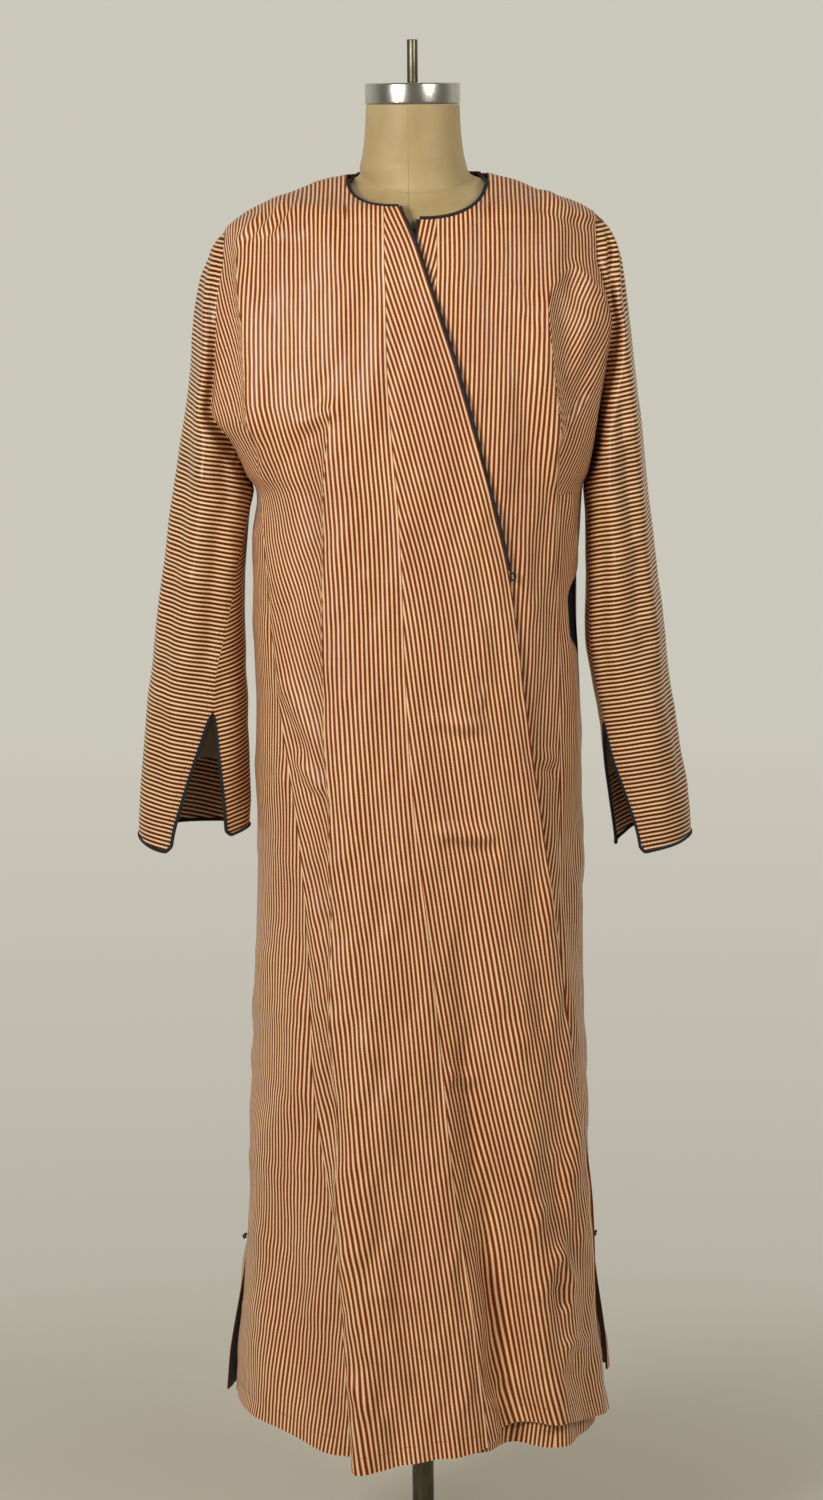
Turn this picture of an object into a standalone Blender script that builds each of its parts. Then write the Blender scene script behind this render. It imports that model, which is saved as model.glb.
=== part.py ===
"""Striped silk kaftan, worn wrapped right over left, on a limbless dress form with a pole stand.

The kaftan is modelled as the cloth pieces that a tailor cuts, each a thin closed wall. Every body
piece is read from one surface: a stack of rounded horizontal rings, wide at the hem, pulled out
into a web of cloth at each armhole, and closing to the shoulder ridge and the neck above it.
Sizes are in millimetres. +Z is up, the front faces -Y, and the wearer's right side is at -X.
"""

import math

import bmesh
import bpy
import numpy as np
from mathutils import Vector

MM = 0.001

# Driving sizes
WALL = 1.2
SEAM_INSET = 0.3
RIDGE_INSET = 0.45
ARMHOLE_INSET = 1.2
BRAID_RADIUS = 1.9
BRAID_GAP = 0.35
LARGEST_INSET_SHARE = 0.45
WRAP_LIFT = 5.0
SKIRT_LIFT = 4.0
SKIRT_LIFT_Z = (900, 350)
WRAP_FOLD_Z = (545, 430)
WRAP_FOLD_X = (-112, -66)
HEM_FLARE = 7.0
HEM_FLARE_Z = (320, 215)
HEM_FLARE_X = (150, 205)
NECK_Z = 1654.0
SHOULDER_Z = 1560.0
GUSSET_TOP_Z = 1460.0
WAIST_SEAM_Z = 1300.0
WEB_SWING_Z = 1345.0
GUSSET_TIP_SHARE = 0.85
VENT_TOP_Z = 424.0
VENT_SPLAY = 9.0
VENT_SPLAY_REACH = 0.12
VENT_OPEN_Z = 235.0
VENT_FACING_WIDTH = 11.0
POCKET_FACING_WIDTH = 14.0
POCKET_LOW_Z = 1100.0
POCKET_TOP_Z = 1240.0
FACING_SET_BACK = 0.6
FOOT_Z = 230.0
BASE_RADIUS = 200.0
BASE_THICKNESS = 14.0
POLE_RADIUS = 12.7
POST_RADIUS = 6.0
POST_TOP_Z = 1803.0
CAP_RADIUS = 53.5
CAP_TOP_Z = 1755.0
NECK_TOP_Z = 1731.0
TORSO_BOTTOM_Z = 905.0
TORSO_SHIFT = 4.5
SEAT_GAP = 0.3
KNOT_RADIUS = 2.8
LOOP_Z = 1213.0
LOOP_RADIUS = 4.2
LOOP_CORD = 0.9
BRAID_CORNER_SHARE = 0.7
SHARP_ANGLE = math.radians(40)
BLEND = 7
YOKE_CLIMB = 1.4
FOLD_GROWTH = 1.1

# How many rows of points each stretch of the body has, from the hem up to the neck.
SKIRT_ROWS = 12
WEB_ROWS = 3
CHEST_ROWS = 3
YOKE_ROWS = 4
SIDE_COLUMNS = 3

COLOURS = {
    # name: (red, green, blue, roughness, metallic)
    "striped_silk": (0.52, 0.27, 0.15, 0.42, 0.0),
    "sleeve_silk": (0.46, 0.25, 0.11, 0.40, 0.0),
    "dark_braid": (0.012, 0.018, 0.022, 0.75, 0.0),
    "navy_facing": (0.010, 0.016, 0.024, 0.70, 0.0),
    "buff_canvas": (0.50, 0.37, 0.17, 0.70, 0.0),
    "brushed_metal": (0.62, 0.61, 0.58, 0.32, 1.0),
    "dull_steel": (0.12, 0.11, 0.08, 0.48, 1.0),
}


class Table:
    """A short table of sizes with named columns, read by a smooth curve down its first column."""

    def __init__(self, columns, rows):
        self.names = columns.split()
        self.values = np.array(sorted(rows), float)

    def at(self, name, where):
        knots = self.values[:, 0]
        heights = self.values[:, self.names.index(name)]
        steps = np.diff(heights) / np.diff(knots)
        slopes = np.empty(len(knots))
        slopes[0], slopes[-1] = steps[0], steps[-1]
        turning = steps[1:] * steps[:-1] <= 0
        slopes[1:-1] = np.where(turning, 0.0, 0.5 * (steps[1:] + steps[:-1]))
        where = float(np.clip(where, knots[0], knots[-1]))
        i = int(np.clip(np.searchsorted(knots, where) - 1, 0, len(knots) - 2))
        span = knots[i + 1] - knots[i]
        t = (where - knots[i]) / span
        start = (1 + 2 * t) * (1 - t) ** 2 * heights[i] + t * (1 - t) ** 2 * span * slopes[i]
        end = t * t * (3 - 2 * t) * heights[i + 1] + t * t * (t - 1) * span * slopes[i + 1]
        return start + end


# Half widths of the body below the underarm and of the shoulder ridge above the armhole.
SIDES = {
    "right": Table("z half", [
        (1654, 75), (1648, 102), (1637, 132), (1626, 162), (1615, 185), (1604, 201), (1591, 213),
        (1313, 182), (1289, 180), (1243, 186), (1174, 185), (1059, 184), (942, 184), (825, 186),
        (707, 191), (588, 194), (468, 199), (346, 209), (235, 219), (180, 222),
    ]),
    "left": Table("z half", [
        (1654, 84), (1648, 110), (1635, 142), (1624, 177), (1612, 200), (1609, 204),
        (1301, 189), (1286, 188), (1217, 183), (1171, 181), (1114, 184), (1056, 186), (939, 188),
        (822, 189), (704, 190), (585, 193), (464, 198), (343, 204), (250, 207), (180, 208),
    ]),
}

# How far the body stands forward and back of the side seams, and how square its rings are.
DEPTHS = Table("z front back square", [
    (1654, 16, 68, 2.0), (1648, 30, 74, 2.0), (1640, 49, 80, 2.0), (1629, 68, 87, 2.0),
    (1620, 88, 92, 2.0), (1600, 100, 100, 2.05), (1580, 107, 105, 2.1), (1530, 118, 114, 2.3),
    (1480, 124, 119, 2.4), (1420, 130, 122, 2.4), (1300, 133, 118, 2.4), (1200, 134, 116, 2.4),
    (1000, 139, 122, 2.35), (800, 145, 130, 2.3), (600, 151, 138, 2.25), (400, 159, 147, 2.2),
    (180, 169, 157, 2.2),
])

# The armhole seam and the sleeve rings: where the seam lies, the sleeve's middle and its outer
# edge, all measured from the centre line, and half the sleeve's depth.
ARMHOLES = {
    "right": Table("z seam middle outer depth", [
        (1587, 213, 213, 217, 8), (1575, 213, 213, 227, 22), (1560, 213, 213, 232, 32),
        (1539, 217, 217, 239, 40), (1507, 221, 221, 246, 49), (1481, 222, 222, 249, 53),
        (1433, 225, 225, 253, 57), (1395, 229, 229, 259, 59), (1355, 206, 228, 266, 61),
        (1300, 184, 228, 273, 62),
    ]),
    "left": Table("z seam middle outer depth", [
        (1605, 204, 204, 210, 8), (1590, 204, 204, 221, 24), (1560, 204, 204, 233, 40),
        (1541, 209, 209, 236, 45), (1514, 216, 216, 239, 52), (1489, 221, 221, 242, 56),
        (1444, 216, 222, 247, 58), (1390, 208, 224, 254, 60), (1350, 202, 226, 259, 61),
        (1300, 191, 227.5, 264, 62),
    ]),
}
RIDGE_END_Z = {"right": 1591.0, "left": 1609.0}

# The sleeves below the underarm, with the angle of the long seam round the sleeve from its
# outer edge towards the front, and how far the cuff slit opens to each side of it.
SLEEVES = {
    "right": Table("z inner outer depth seam slit_front slit_back", [
        (1300, 184, 273, 62, 180, 0, 0), (1268, 189, 279, 61, 160, 0, 0),
        (1222, 194, 286, 60, 148, 0, 0), (1155, 196, 296, 57, 130, 0, 0),
        (1106, 196, 302, 54, 116, 0, 0), (1056, 194, 309, 50, 110, 0, 0),
        (1002, 193, 315, 47, 109, 16, 7), (950, 193, 319, 45, 108, 30, 14),
        (900, 194, 321, 43, 107, 41, 22), (880, 194, 322, 43, 107, 42, 24),
    ]),
    "left": Table("z inner outer depth seam slit_front slit_back", [
        (1300, 191, 264, 62, 180, 0, 0), (1268, 194, 268, 61, 170, 0, 0),
        (1206, 194, 274, 60, 163, 0, 0), (1137, 193, 284, 56, 156, 0, 0),
        (1080, 200, 290, 52, 157, 0, 0), (1040, 208, 297, 49, 156, 0, 0),
        (997, 213, 303, 47, 155, 12, 10), (950, 220, 310, 45, 153, 27, 22),
        (900, 227, 313, 43, 150, 38, 33), (880, 229, 313, 43, 150, 40, 34),
    ]),
}
SLIT_TOP_Z = {"right": 1056.0, "left": 1040.0}

# The sleeve hem round the cuff, by the angle from the outer edge towards the front.
CUFFS = {
    "right": Table("angle z", [
        (-250, 904), (-180, 916), (-90, 914), (0, 906), (66, 891), (110, 893),
    ]),
    "left": Table("angle z", [
        (-190, 884), (-150, 896), (-90, 910), (0, 905), (60, 895), (120, 885),
    ]),
}

# Lines where the front pieces meet or end, as distances from the centre line, the wearer's left
# positive: the seams of the over and the under front, their free edges, and the side seams.
FRONT_LINES = Table("z over_seam over_edge under_seam under_edge side_right under_side side_left", [
    (1622, -32, -17, 25, 10, -178, -178, 160), (1581, -32, 1, 25, 1, -178, -178, 160),
    (1560, -32, 8, 25, -4, -178, -178, 160), (1532, -31, 17, 24, -12, -178, -178, 160),
    (1440, -30, 46, 21, -30, -178, -178, 161), (1333, -23, 74, 17, -48, -176, -176, 160),
    (1300, -20, 82, 16, -52, -174, -174, 160), (1219, -16, 100, 14, -58, -168, -168, 158),
    (1079, -12, 116, 12, -60, -157, -157, 160), (935, -3, 131, 9, -60, -137, -137, 160),
    (791, 13, 147, 7, -60, -125, -125, 158), (643, 26, 163, 5, -60, -121, -121, 155),
    (538, 35, 176, 3, -60, -108, -108, 152), (470, 44, 184, 2, -60, -94, -91, 150),
    (388, 55, 191, 1, -60, -88, -82, 150), (254, 70, 201, 0, -60, -80, -72, 150),
    (180, 78, 205, 0, -60, -76, -68, 150),
])
SIDE_LINE = {"right": "side_right", "left": "side_left"}

# The front neckline of each side: the ends of its rounded square and how square it is.
NECK = {
    "right": {"inner": 17.0, "outer": 75.0, "z": 1620.0, "square": 2.6},
    "left": {"inner": 10.0, "outer": 84.0, "z": 1606.0, "square": 2.3},
}

# Where the columns of the front and back pieces meet the neckline and the shoulder ridge.
NECK_COLUMNS = {"right": [32, 48, 61, 70], "left": [25, 45, 63, 77]}
RIDGE_COLUMNS = {"right": [75, 100, 128, 155, 185, 213], "left": [84, 108, 134, 160, 184, 204]}
BACK_NECK_COLUMNS = {"right": [15, 40, 63], "left": [15, 45, 70]}

# Hems of the front pieces, by distance from the centre line, and of the back pieces.
OVER_HEM = Table("x z", [
    (-90, 196), (-76, 196), (2, 209), (73, 221), (90, 232), (120, 238), (150, 240), (180, 232),
    (215, 222),
])
SIDE_HEM = Table("x z", [(-219, 238), (-189, 234), (-144, 222), (-119, 212), (-70, 208)])
UNDER_HEM = Table("x z", [(-80, 214), (80, 212), (161, 206), (185, 208), (215, 218)])
BACK_HEM = Table("x z", [
    (-230, 236), (-200, 230), (-120, 218), (0, 210), (120, 216), (200, 226), (230, 232),
])

# The largest folds of the skirt. Each runs down the front or the back from its top to its
# bottom, by distance from the centre line, and stands out by its height at the bottom.
FOLD_COLUMNS = "face x_top x_bottom z_top z_bottom width height"
FOLDS = [
    ("front", -62, -62, 1380, 200, 26, 9),
    ("front", 30, 114, 860, 200, 30, -24),
    ("front", 104, 158, 900, 200, 20, 8),
    ("front", -150, -140, 640, 200, 20, -9),
    ("front", -178, -188, 720, 200, 18, 6),
    ("back", -150, -165, 900, 200, 26, 8),
    ("back", -105, -118, 1250, 200, 26, -12),
    ("back", -60, -66, 1150, 200, 26, 10),
    ("back", -12, -10, 1350, 200, 26, -11),
    ("back", 42, 48, 1150, 200, 26, 11),
    ("back", 96, 108, 1250, 200, 26, -12),
    ("back", 146, 160, 900, 200, 26, 8),
]


def smooth_step(low, high, value):
    t = min(1.0, max(0.0, (value - low) / (high - low)))
    return t * t * (3 - 2 * t)


def spread(low, high, count):
    return [low + (high - low) * i / count for i in range(count + 1)]


def armhole_seam(side, z):
    """Distance out and depth of the armhole seam at this height."""
    table = ARMHOLES[side]
    seam, middle, outer = (table.at(name, z) for name in ("seam", "middle", "outer"))
    across = max(-1.0, min(1.0, (seam - middle) / (outer - middle)))
    return seam, table.at("depth", z) * math.sqrt(1 - across * across)


def half_width(side, z, reach):
    """Half width of the ring at this height, so that in the armhole it passes through the seam."""
    if not WAIST_SEAM_Z < z < RIDGE_END_Z[side] - 4:
        return SIDES[side].at("half", z)
    seam, depth = armhole_seam(side, z)
    square = DEPTHS.at("square", z)
    return seam / (1 - min(0.9, depth / reach) ** square) ** (1 / square)


def fold_height(face, x, z):
    total = 0.0
    for fold in FOLDS:
        fold = dict(zip(FOLD_COLUMNS.split(), fold))
        down = (fold["z_top"] - z) / (fold["z_top"] - fold["z_bottom"])
        if fold["face"] != face or down <= 0:
            continue
        middle = fold["x_top"] + (fold["x_bottom"] - fold["x_top"]) * down
        growth = min(1.1, down) ** FOLD_GROWTH
        total += fold["height"] * growth * math.exp(-(((x - middle) / fold["width"]) ** 2))
    return total


def ring_point(turn, z, lift=0.0):
    """Point of the body surface. Turn is 0 at the middle front, 90 degrees at the wearer's left."""
    across, along = math.sin(turn), math.cos(turn)
    face = "front" if along >= 0 else "back"
    side = "left" if across >= 0 else "right"
    reach = DEPTHS.at(face, z)
    half = half_width(side, z, reach)
    power = 2 / DEPTHS.at("square", z)
    x = math.copysign(half * abs(across) ** power, across)
    y = -math.copysign(reach * abs(along) ** power, along)
    normal = Vector((x / half**2, y / reach**2, 0)).normalized()
    return Vector((x, y, z)) + normal * (lift + fold_height(face, x, z))


def turn_at(x, z, face="front"):
    """The turn at which the body surface is this far from the centre line."""
    side = "left" if x >= 0 else "right"
    reach = DEPTHS.at(face, z)
    share = min(1.0, abs(x) / half_width(side, z, reach)) ** (DEPTHS.at("square", z) / 2)
    turn = math.copysign(math.asin(min(1.0, share)), x)
    return turn if face == "front" else math.pi - turn


def side_turn(side, face):
    """The turn of the side seam, counted on past half a turn at the wearer's right back."""
    if side == "left":
        return math.pi / 2
    return -math.pi / 2 if face == "front" else 1.5 * math.pi


def ridge_height(side, x):
    """Height of the shoulder ridge above a point this far out from the centre line."""
    low, high = RIDGE_END_Z[side], NECK_Z
    for _ in range(30):
        middle = (low + high) / 2
        if SIDES[side].at("half", middle) > abs(x):
            low = middle
        else:
            high = middle
    return (low + high) / 2


def neck_height(side, x):
    """Height of the front neckline this far out, along a rounded square between corner and ridge."""
    neck = NECK[side]
    share = min(1.0, max(0.0, (abs(x) - neck["inner"]) / (neck["outer"] - neck["inner"])))
    return NECK_Z - (NECK_Z - neck["z"]) * (1 - share ** neck["square"]) ** (1 / neck["square"])


def top_height(x, face):
    """Height at which a cloth column this far out ends: at the neckline or the ridge."""
    side = "left" if x >= 0 else "right"
    if abs(x) > NECK[side]["outer"] - 0.5:
        return ridge_height(side, x)
    return NECK_Z if face == "back" else neck_height(side, x)


def column_heights(foot, top):
    """Heights of one column's points. Pieces that share a seam share these, so their edges match."""
    skirt = spread(foot, WAIST_SEAM_Z, SKIRT_ROWS)
    web = spread(WAIST_SEAM_Z, GUSSET_TOP_Z, WEB_ROWS)[1:]
    chest = spread(GUSSET_TOP_Z, SHOULDER_Z, CHEST_ROWS)[1:]
    climbs = [1 - (1 - i / YOKE_ROWS) ** YOKE_CLIMB for i in range(1, YOKE_ROWS + 1)]
    return skirt + web + chest + [SHOULDER_Z + (top - SHOULDER_Z) * climb for climb in climbs]


def inset(points, edge, distance, upper_z=math.inf):
    """Moves one edge of a grid of points towards its neighbours, which leaves a seam's gap.

    From the upper height on, where the edge turns into the armhole, it moves further.
    """
    if edge in ("first_row", "last_row"):
        rim, inner = (0, 1) if edge == "first_row" else (-1, -2)
        pairs = [((rim, j), (inner, j)) for j in range(points.shape[1])]
    else:
        rim, inner = (0, 1) if edge == "first_column" else (-1, -2)
        pairs = [((i, rim), (i, inner)) for i in range(points.shape[0])]
    for here, there in pairs:
        step = points[there] - points[here]
        gap = distance if points[here][2] < upper_z else ARMHOLE_INSET
        points[here] += step * min(LARGEST_INSET_SHARE, gap / np.linalg.norm(step))


def material(name):
    made = bpy.data.materials.get(name)
    if made:
        return made
    red, green, blue, roughness, metallic = COLOURS[name]
    made = bpy.data.materials.new(name)
    made.use_nodes = True
    shader = made.node_tree.nodes["Principled BSDF"]
    shader.inputs["Base Color"].default_value = (red, green, blue, 1)
    shader.inputs["Roughness"].default_value = roughness
    shader.inputs["Metallic"].default_value = metallic
    return made


def add_object(name, shape, colour):
    """A new object from a bmesh in millimetres, shaded smooth between its sharp edges."""
    bmesh.ops.scale(shape, vec=(MM, MM, MM), verts=shape.verts)
    mesh = bpy.data.meshes.new(name)
    shape.to_mesh(mesh)
    shape.free()
    mesh.materials.append(material(colour))
    mesh.shade_smooth()
    mesh.set_sharp_from_angle(angle=SHARP_ANGLE)
    made = bpy.data.objects.new(name, mesh)
    bpy.context.scene.collection.objects.link(made)
    made.parent = STAND
    return made


def surface(rows, closed=False):
    """A bmesh of quads through rows of points, joined round into a tube where it is closed."""
    shape = bmesh.new()
    grid = [[shape.verts.new(Vector(point)) for point in row] for row in rows]
    for low, high in zip(grid, grid[1:]):
        count = len(low) if closed else len(low) - 1
        for j in range(count):
            after = (j + 1) % len(low)
            shape.faces.new((low[j], low[after], high[after], high[j]))
    return shape, grid


def cloth_wall(name, points, colour, thickness=WALL):
    """A closed wall of cloth with a grid of points along its middle."""
    shape, _ = surface(points)
    made = add_object(name, shape, colour)
    solid = made.modifiers.new("wall", "SOLIDIFY")
    solid.thickness = thickness * MM
    solid.offset = 0
    solid.use_even_offset = True
    return made


def solid_of_rings(name, rings, colour):
    """A closed solid through a stack of rings, flat at both ends."""
    shape, grid = surface(rings, closed=True)
    shape.faces.new(reversed(grid[0]))
    shape.faces.new(grid[-1])
    return add_object(name, shape, colour)


def cylinder(name, radius, low, high, rounding, colour, around):
    """A round piece on the centre line, with its top and bottom edges rounded."""
    shape = bmesh.new()
    bmesh.ops.create_cone(
        shape, cap_ends=True, segments=around, radius1=radius, radius2=radius, depth=high - low
    )
    bmesh.ops.translate(shape, vec=(0, 0, (low + high) / 2), verts=shape.verts)
    made = add_object(name, shape, colour)
    if rounding:
        bevel = made.modifiers.new("rounding", "BEVEL")
        bevel.width = rounding * MM
        bevel.segments = 2
        bevel.limit_method = "ANGLE"
        bevel.angle_limit = math.radians(60)
    return made


def body_grid(near_line, far_line, shares, hem, top, lift, face="front", straight=True):
    """Points of a piece that runs from the hem to the neck or the shoulder ridge.

    Its columns lie at these shares of the way between two lines down the body. Above the shoulder
    point they climb straight up where the piece is cut straight, and follow the lines otherwise.
    """
    columns = []
    for share in shares:
        foot_turn = near_line(FOOT_Z) + (far_line(FOOT_Z) - near_line(FOOT_Z)) * share
        shoulder_turn = near_line(SHOULDER_Z) + (far_line(SHOULDER_Z) - near_line(SHOULDER_Z)) * share
        x = ring_point(shoulder_turn, SHOULDER_Z)[0]
        column = []
        for z in column_heights(hem(foot_turn), top(x, face)):
            if straight and z > SHOULDER_Z:
                turn = turn_at(x, z, face)
            else:
                turn = near_line(z) + (far_line(z) - near_line(z)) * share
            column.append(ring_point(turn, z, lift(turn, z)))
        columns.append(column)
    return np.array(columns).transpose(1, 0, 2)


def front_line(name):
    return lambda z: turn_at(FRONT_LINES.at(name, z), z)


def back_line(side):
    """Where the side gore meets the back piece."""
    out = {"right": -1, "left": 1}[side]
    return lambda z: turn_at(out * (138 + 6 * smooth_step(900, 300, z)), z, "back")


def outer_line(side, face):
    """The side seam of a front or back piece, which swings out above the waist to the armhole."""
    seam_line = front_line(SIDE_LINE[side]) if face == "front" else back_line(side)
    out = {"right": -1, "left": 1}[side]

    def line(z):
        if z <= WAIST_SEAM_Z:
            return seam_line(z)
        armhole_turn = turn_at(out * armhole_seam(side, z)[0], z, face)
        swing = smooth_step(WEB_SWING_Z, GUSSET_TOP_Z, z)
        return seam_line(z) + (armhole_turn - seam_line(z)) * swing

    return line


def foot_height(table):
    """The hem height below a turn of the front or back, read by distance from the centre line."""
    return lambda turn: table.at("z", ring_point(turn, FOOT_Z)[0])


def over_lift(turn, z):
    """How far the over front stands off the under front that it covers."""
    x = ring_point(turn, z)[0]
    edge = smooth_step(*WRAP_FOLD_Z, z)
    covering = edge + (1 - edge) * smooth_step(*WRAP_FOLD_X, x)
    depth = WRAP_LIFT + SKIRT_LIFT * smooth_step(*SKIRT_LIFT_Z, z)
    flare = HEM_FLARE * smooth_step(*HEM_FLARE_Z, z) * smooth_step(*HEM_FLARE_X, x)
    return depth * covering * smooth_step(NECK_Z - 2, 1610, z) + flare


def no_lift(turn, z):
    return 0.0


def vent_splay(turn, z):
    """How far the back flap of a side vent stands outside the front one, most at its edge."""
    from_edge = abs(abs(math.sin(turn)) - 1)
    opening = smooth_step(VENT_TOP_Z, VENT_OPEN_Z, z)
    return VENT_SPLAY * opening * (1 - smooth_step(0, VENT_SPLAY_REACH, from_edge))


def shares_at_shoulder(line_a, line_b, distances, face="front"):
    """The shares of the way between two lines at which columns reach these distances out."""
    low, high = line_a(SHOULDER_Z), line_b(SHOULDER_Z)
    return [(turn_at(x, SHOULDER_Z, face) - low) / (high - low) for x in distances]


def front_panel(side, seam_name, hem, lift):
    """The straight front piece, from the gore seam out to the side and up over the chest."""
    out = {"right": -1, "left": 1}[side]
    inner, outer = front_line(seam_name), outer_line(side, "front")
    distances = [out * x for x in NECK_COLUMNS[side] + RIDGE_COLUMNS[side]]
    shares = shares_at_shoulder(inner, outer, distances)
    grid = body_grid(inner, outer, shares, hem, top_height, lift)
    inset(grid, "first_column", SEAM_INSET)
    inset(grid, "last_column", SEAM_INSET, GUSSET_TOP_Z)
    inset(grid, "last_row", RIDGE_INSET)
    cloth_wall(f"front_panel_{side}", grid, "striped_silk")
    return grid


def front_gore(side, seam_name, edge_name, hem, lift, columns):
    """The slanting piece between the straight front and its free edge."""
    corner = {"right": -NECK["right"]["inner"], "left": NECK["left"]["inner"]}[side]

    def top(x, face):
        return neck_height(side, corner if abs(x) < abs(corner) else x)

    seam_line, edge_line = front_line(seam_name), front_line(edge_name)
    shares = spread(0, 1, columns)
    grid = body_grid(seam_line, edge_line, shares, hem, top, lift, straight=False)
    inset(grid, "first_column", SEAM_INSET)
    cloth_wall(f"front_gore_{side}", grid, "striped_silk")
    return grid


def back_panel():
    """The one wide back piece, from side gore to side gore and up to the shoulder ridge."""
    left, right = outer_line("left", "back"), outer_line("right", "back")
    distances = list(reversed(BACK_NECK_COLUMNS["left"] + RIDGE_COLUMNS["left"]))
    distances += [-x for x in BACK_NECK_COLUMNS["right"] + RIDGE_COLUMNS["right"]]
    shares = shares_at_shoulder(left, right, distances, "back")
    grid = body_grid(left, right, shares, foot_height(BACK_HEM), top_height, no_lift, "back")
    inset(grid, "first_column", SEAM_INSET, GUSSET_TOP_Z)
    inset(grid, "last_column", SEAM_INSET, GUSSET_TOP_Z)
    inset(grid, "last_row", RIDGE_INSET)
    cloth_wall("back_panel", grid, "striped_silk")
    return grid


def side_gore(side, face):
    """The gore between a straight piece and the side seam, which opens below into the vent."""
    if face == "front":
        inner = front_line("under_side" if side == "right" else "side_left")
        hem = foot_height(SIDE_HEM if side == "right" else UNDER_HEM)
        lift = no_lift
    else:
        inner, hem, lift = back_line(side), foot_height(BACK_HEM), vent_splay
    edge = side_turn(side, face)
    columns = []
    for share in spread(0, 1, SIDE_COLUMNS):
        foot = hem(inner(FOOT_Z) + (edge - inner(FOOT_Z)) * share)
        column = []
        for z in spread(foot, WAIST_SEAM_Z, SKIRT_ROWS):
            turn = inner(z) + (edge - inner(z)) * share
            column.append(ring_point(turn, z, lift(turn, z)))
        columns.append(column)
    grid = np.array(columns).transpose(1, 0, 2)
    inset(grid, "first_column", SEAM_INSET)
    inset(grid, "last_column", RIDGE_INSET)
    inset(grid, "last_row", SEAM_INSET)
    cloth_wall(f"side_gore_{face}_{side}", grid, "striped_silk")
    return grid


def gusset(side, face):
    """The underarm web between the waist seam and the armhole, ending almost in a point above."""
    out = {"right": -1, "left": 1}[side]
    inner = outer_line(side, face)
    rows = []
    for z in spread(WAIST_SEAM_Z, GUSSET_TOP_Z, WEB_ROWS):
        outer = side_turn(side, face)
        if z > WAIST_SEAM_Z:
            outer = turn_at(out * armhole_seam(side, z)[0], z, face)
        shares = spread(0, 1, SIDE_COLUMNS)
        rows.append([ring_point(inner(z) + (outer - inner(z)) * share, z) for share in shares])
    grid = np.array(rows)
    grid[-1] = grid[-2] + (grid[-1] - grid[-2]) * GUSSET_TIP_SHARE
    inset(grid, "first_column", SEAM_INSET)
    inset(grid, "last_column", ARMHOLE_INSET)
    inset(grid, "first_row", SEAM_INSET)
    cloth_wall(f"gusset_{face}_{side}", grid, "striped_silk")


def sleeve_section(side, z):
    """Middle, half width, half depth and first and last angle of the sleeve's ring."""
    if z > WAIST_SEAM_Z:
        table = ARMHOLES[side]
        seam, middle, outer = (table.at(name, z) for name in ("seam", "middle", "outer"))
        end = math.acos(max(-1.0, min(1.0, (seam - middle) / (outer - middle))))
        return middle, outer - middle, table.at("depth", z), -end, end
    table = SLEEVES[side]
    inner, outer, seam = (table.at(name, z) for name in ("inner", "outer", "seam"))
    front, back = table.at("slit_front", z), table.at("slit_back", z)
    start, end = math.radians(seam + back - 360), math.radians(seam - front)
    return (inner + outer) / 2, (outer - inner) / 2, table.at("depth", z), start, end


def sleeve_point(side, z, share):
    """A point of the sleeve, by its share of the way round from the back edge to the front one."""
    middle, half, depth, start, end = sleeve_section(side, z)
    angle = start + (end - start) * share
    out = {"right": -1, "left": 1}[side]
    return Vector((out * (middle + half * math.cos(angle)), -depth * math.sin(angle), z))


def sleeve(side, columns=14, arm_rows=5, cuff_rows=6):
    """The straight sleeve, from the armhole seam down its long seam to the slit cuff."""
    armhole = [z for z in column_heights(FOOT_Z, RIDGE_END_Z[side]) if z > WAIST_SEAM_Z - 1][:-1]
    arm = spread(SLIT_TOP_Z[side], WAIST_SEAM_Z, arm_rows)[:-1]
    columns_of_points = []
    for share in spread(0, 1, columns):
        _, _, _, start, end = sleeve_section(side, 900)
        foot = CUFFS[side].at("z", math.degrees(start + (end - start) * share))
        heights = spread(foot, SLIT_TOP_Z[side], cuff_rows)[:-1] + arm + armhole
        columns_of_points.append([sleeve_point(side, z, share) for z in heights])
    grid = np.array(columns_of_points).transpose(1, 0, 2)
    inset(grid, "first_column", SEAM_INSET, WAIST_SEAM_Z)
    inset(grid, "last_column", SEAM_INSET, WAIST_SEAM_Z)
    cloth_wall(f"sleeve_{side}", grid, "sleeve_silk")
    return grid


def tube(name, path, radius, colour, closed=False):
    """A round cord along a path of points."""
    curve = bpy.data.curves.new(name, "CURVE")
    curve.dimensions = "3D"
    spline = curve.splines.new("POLY")
    spline.points.add(len(path) - 1)
    for point, place in zip(spline.points, path):
        point.co = (*(Vector(place) * MM), 1)
    spline.use_cyclic_u = closed
    curve.bevel_depth = radius * MM
    curve.bevel_resolution = 1
    curve.use_fill_caps = True
    curve.materials.append(material(colour))
    made = bpy.data.objects.new(name, curve)
    bpy.context.scene.collection.objects.link(made)
    made.parent = STAND
    return made


def beyond(rim, inner, distance=BRAID_RADIUS + BRAID_GAP):
    """A line of points moved squarely off the edge of the cloth, away from the next line in."""
    rim, inner = [Vector(point) for point in rim], [Vector(point) for point in inner]
    moved = []
    for i, (here, there) in enumerate(zip(rim, inner)):
        along = (rim[min(i + 1, len(rim) - 1)] - rim[max(i - 1, 0)]).normalized()
        away = here - there
        away -= along * away.dot(along)
        moved.append(here + away.normalized() * distance)
    return moved


def between(first, second):
    """The middle of two places where a braid crosses from one piece to the next."""
    return (first + second) / 2


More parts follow.
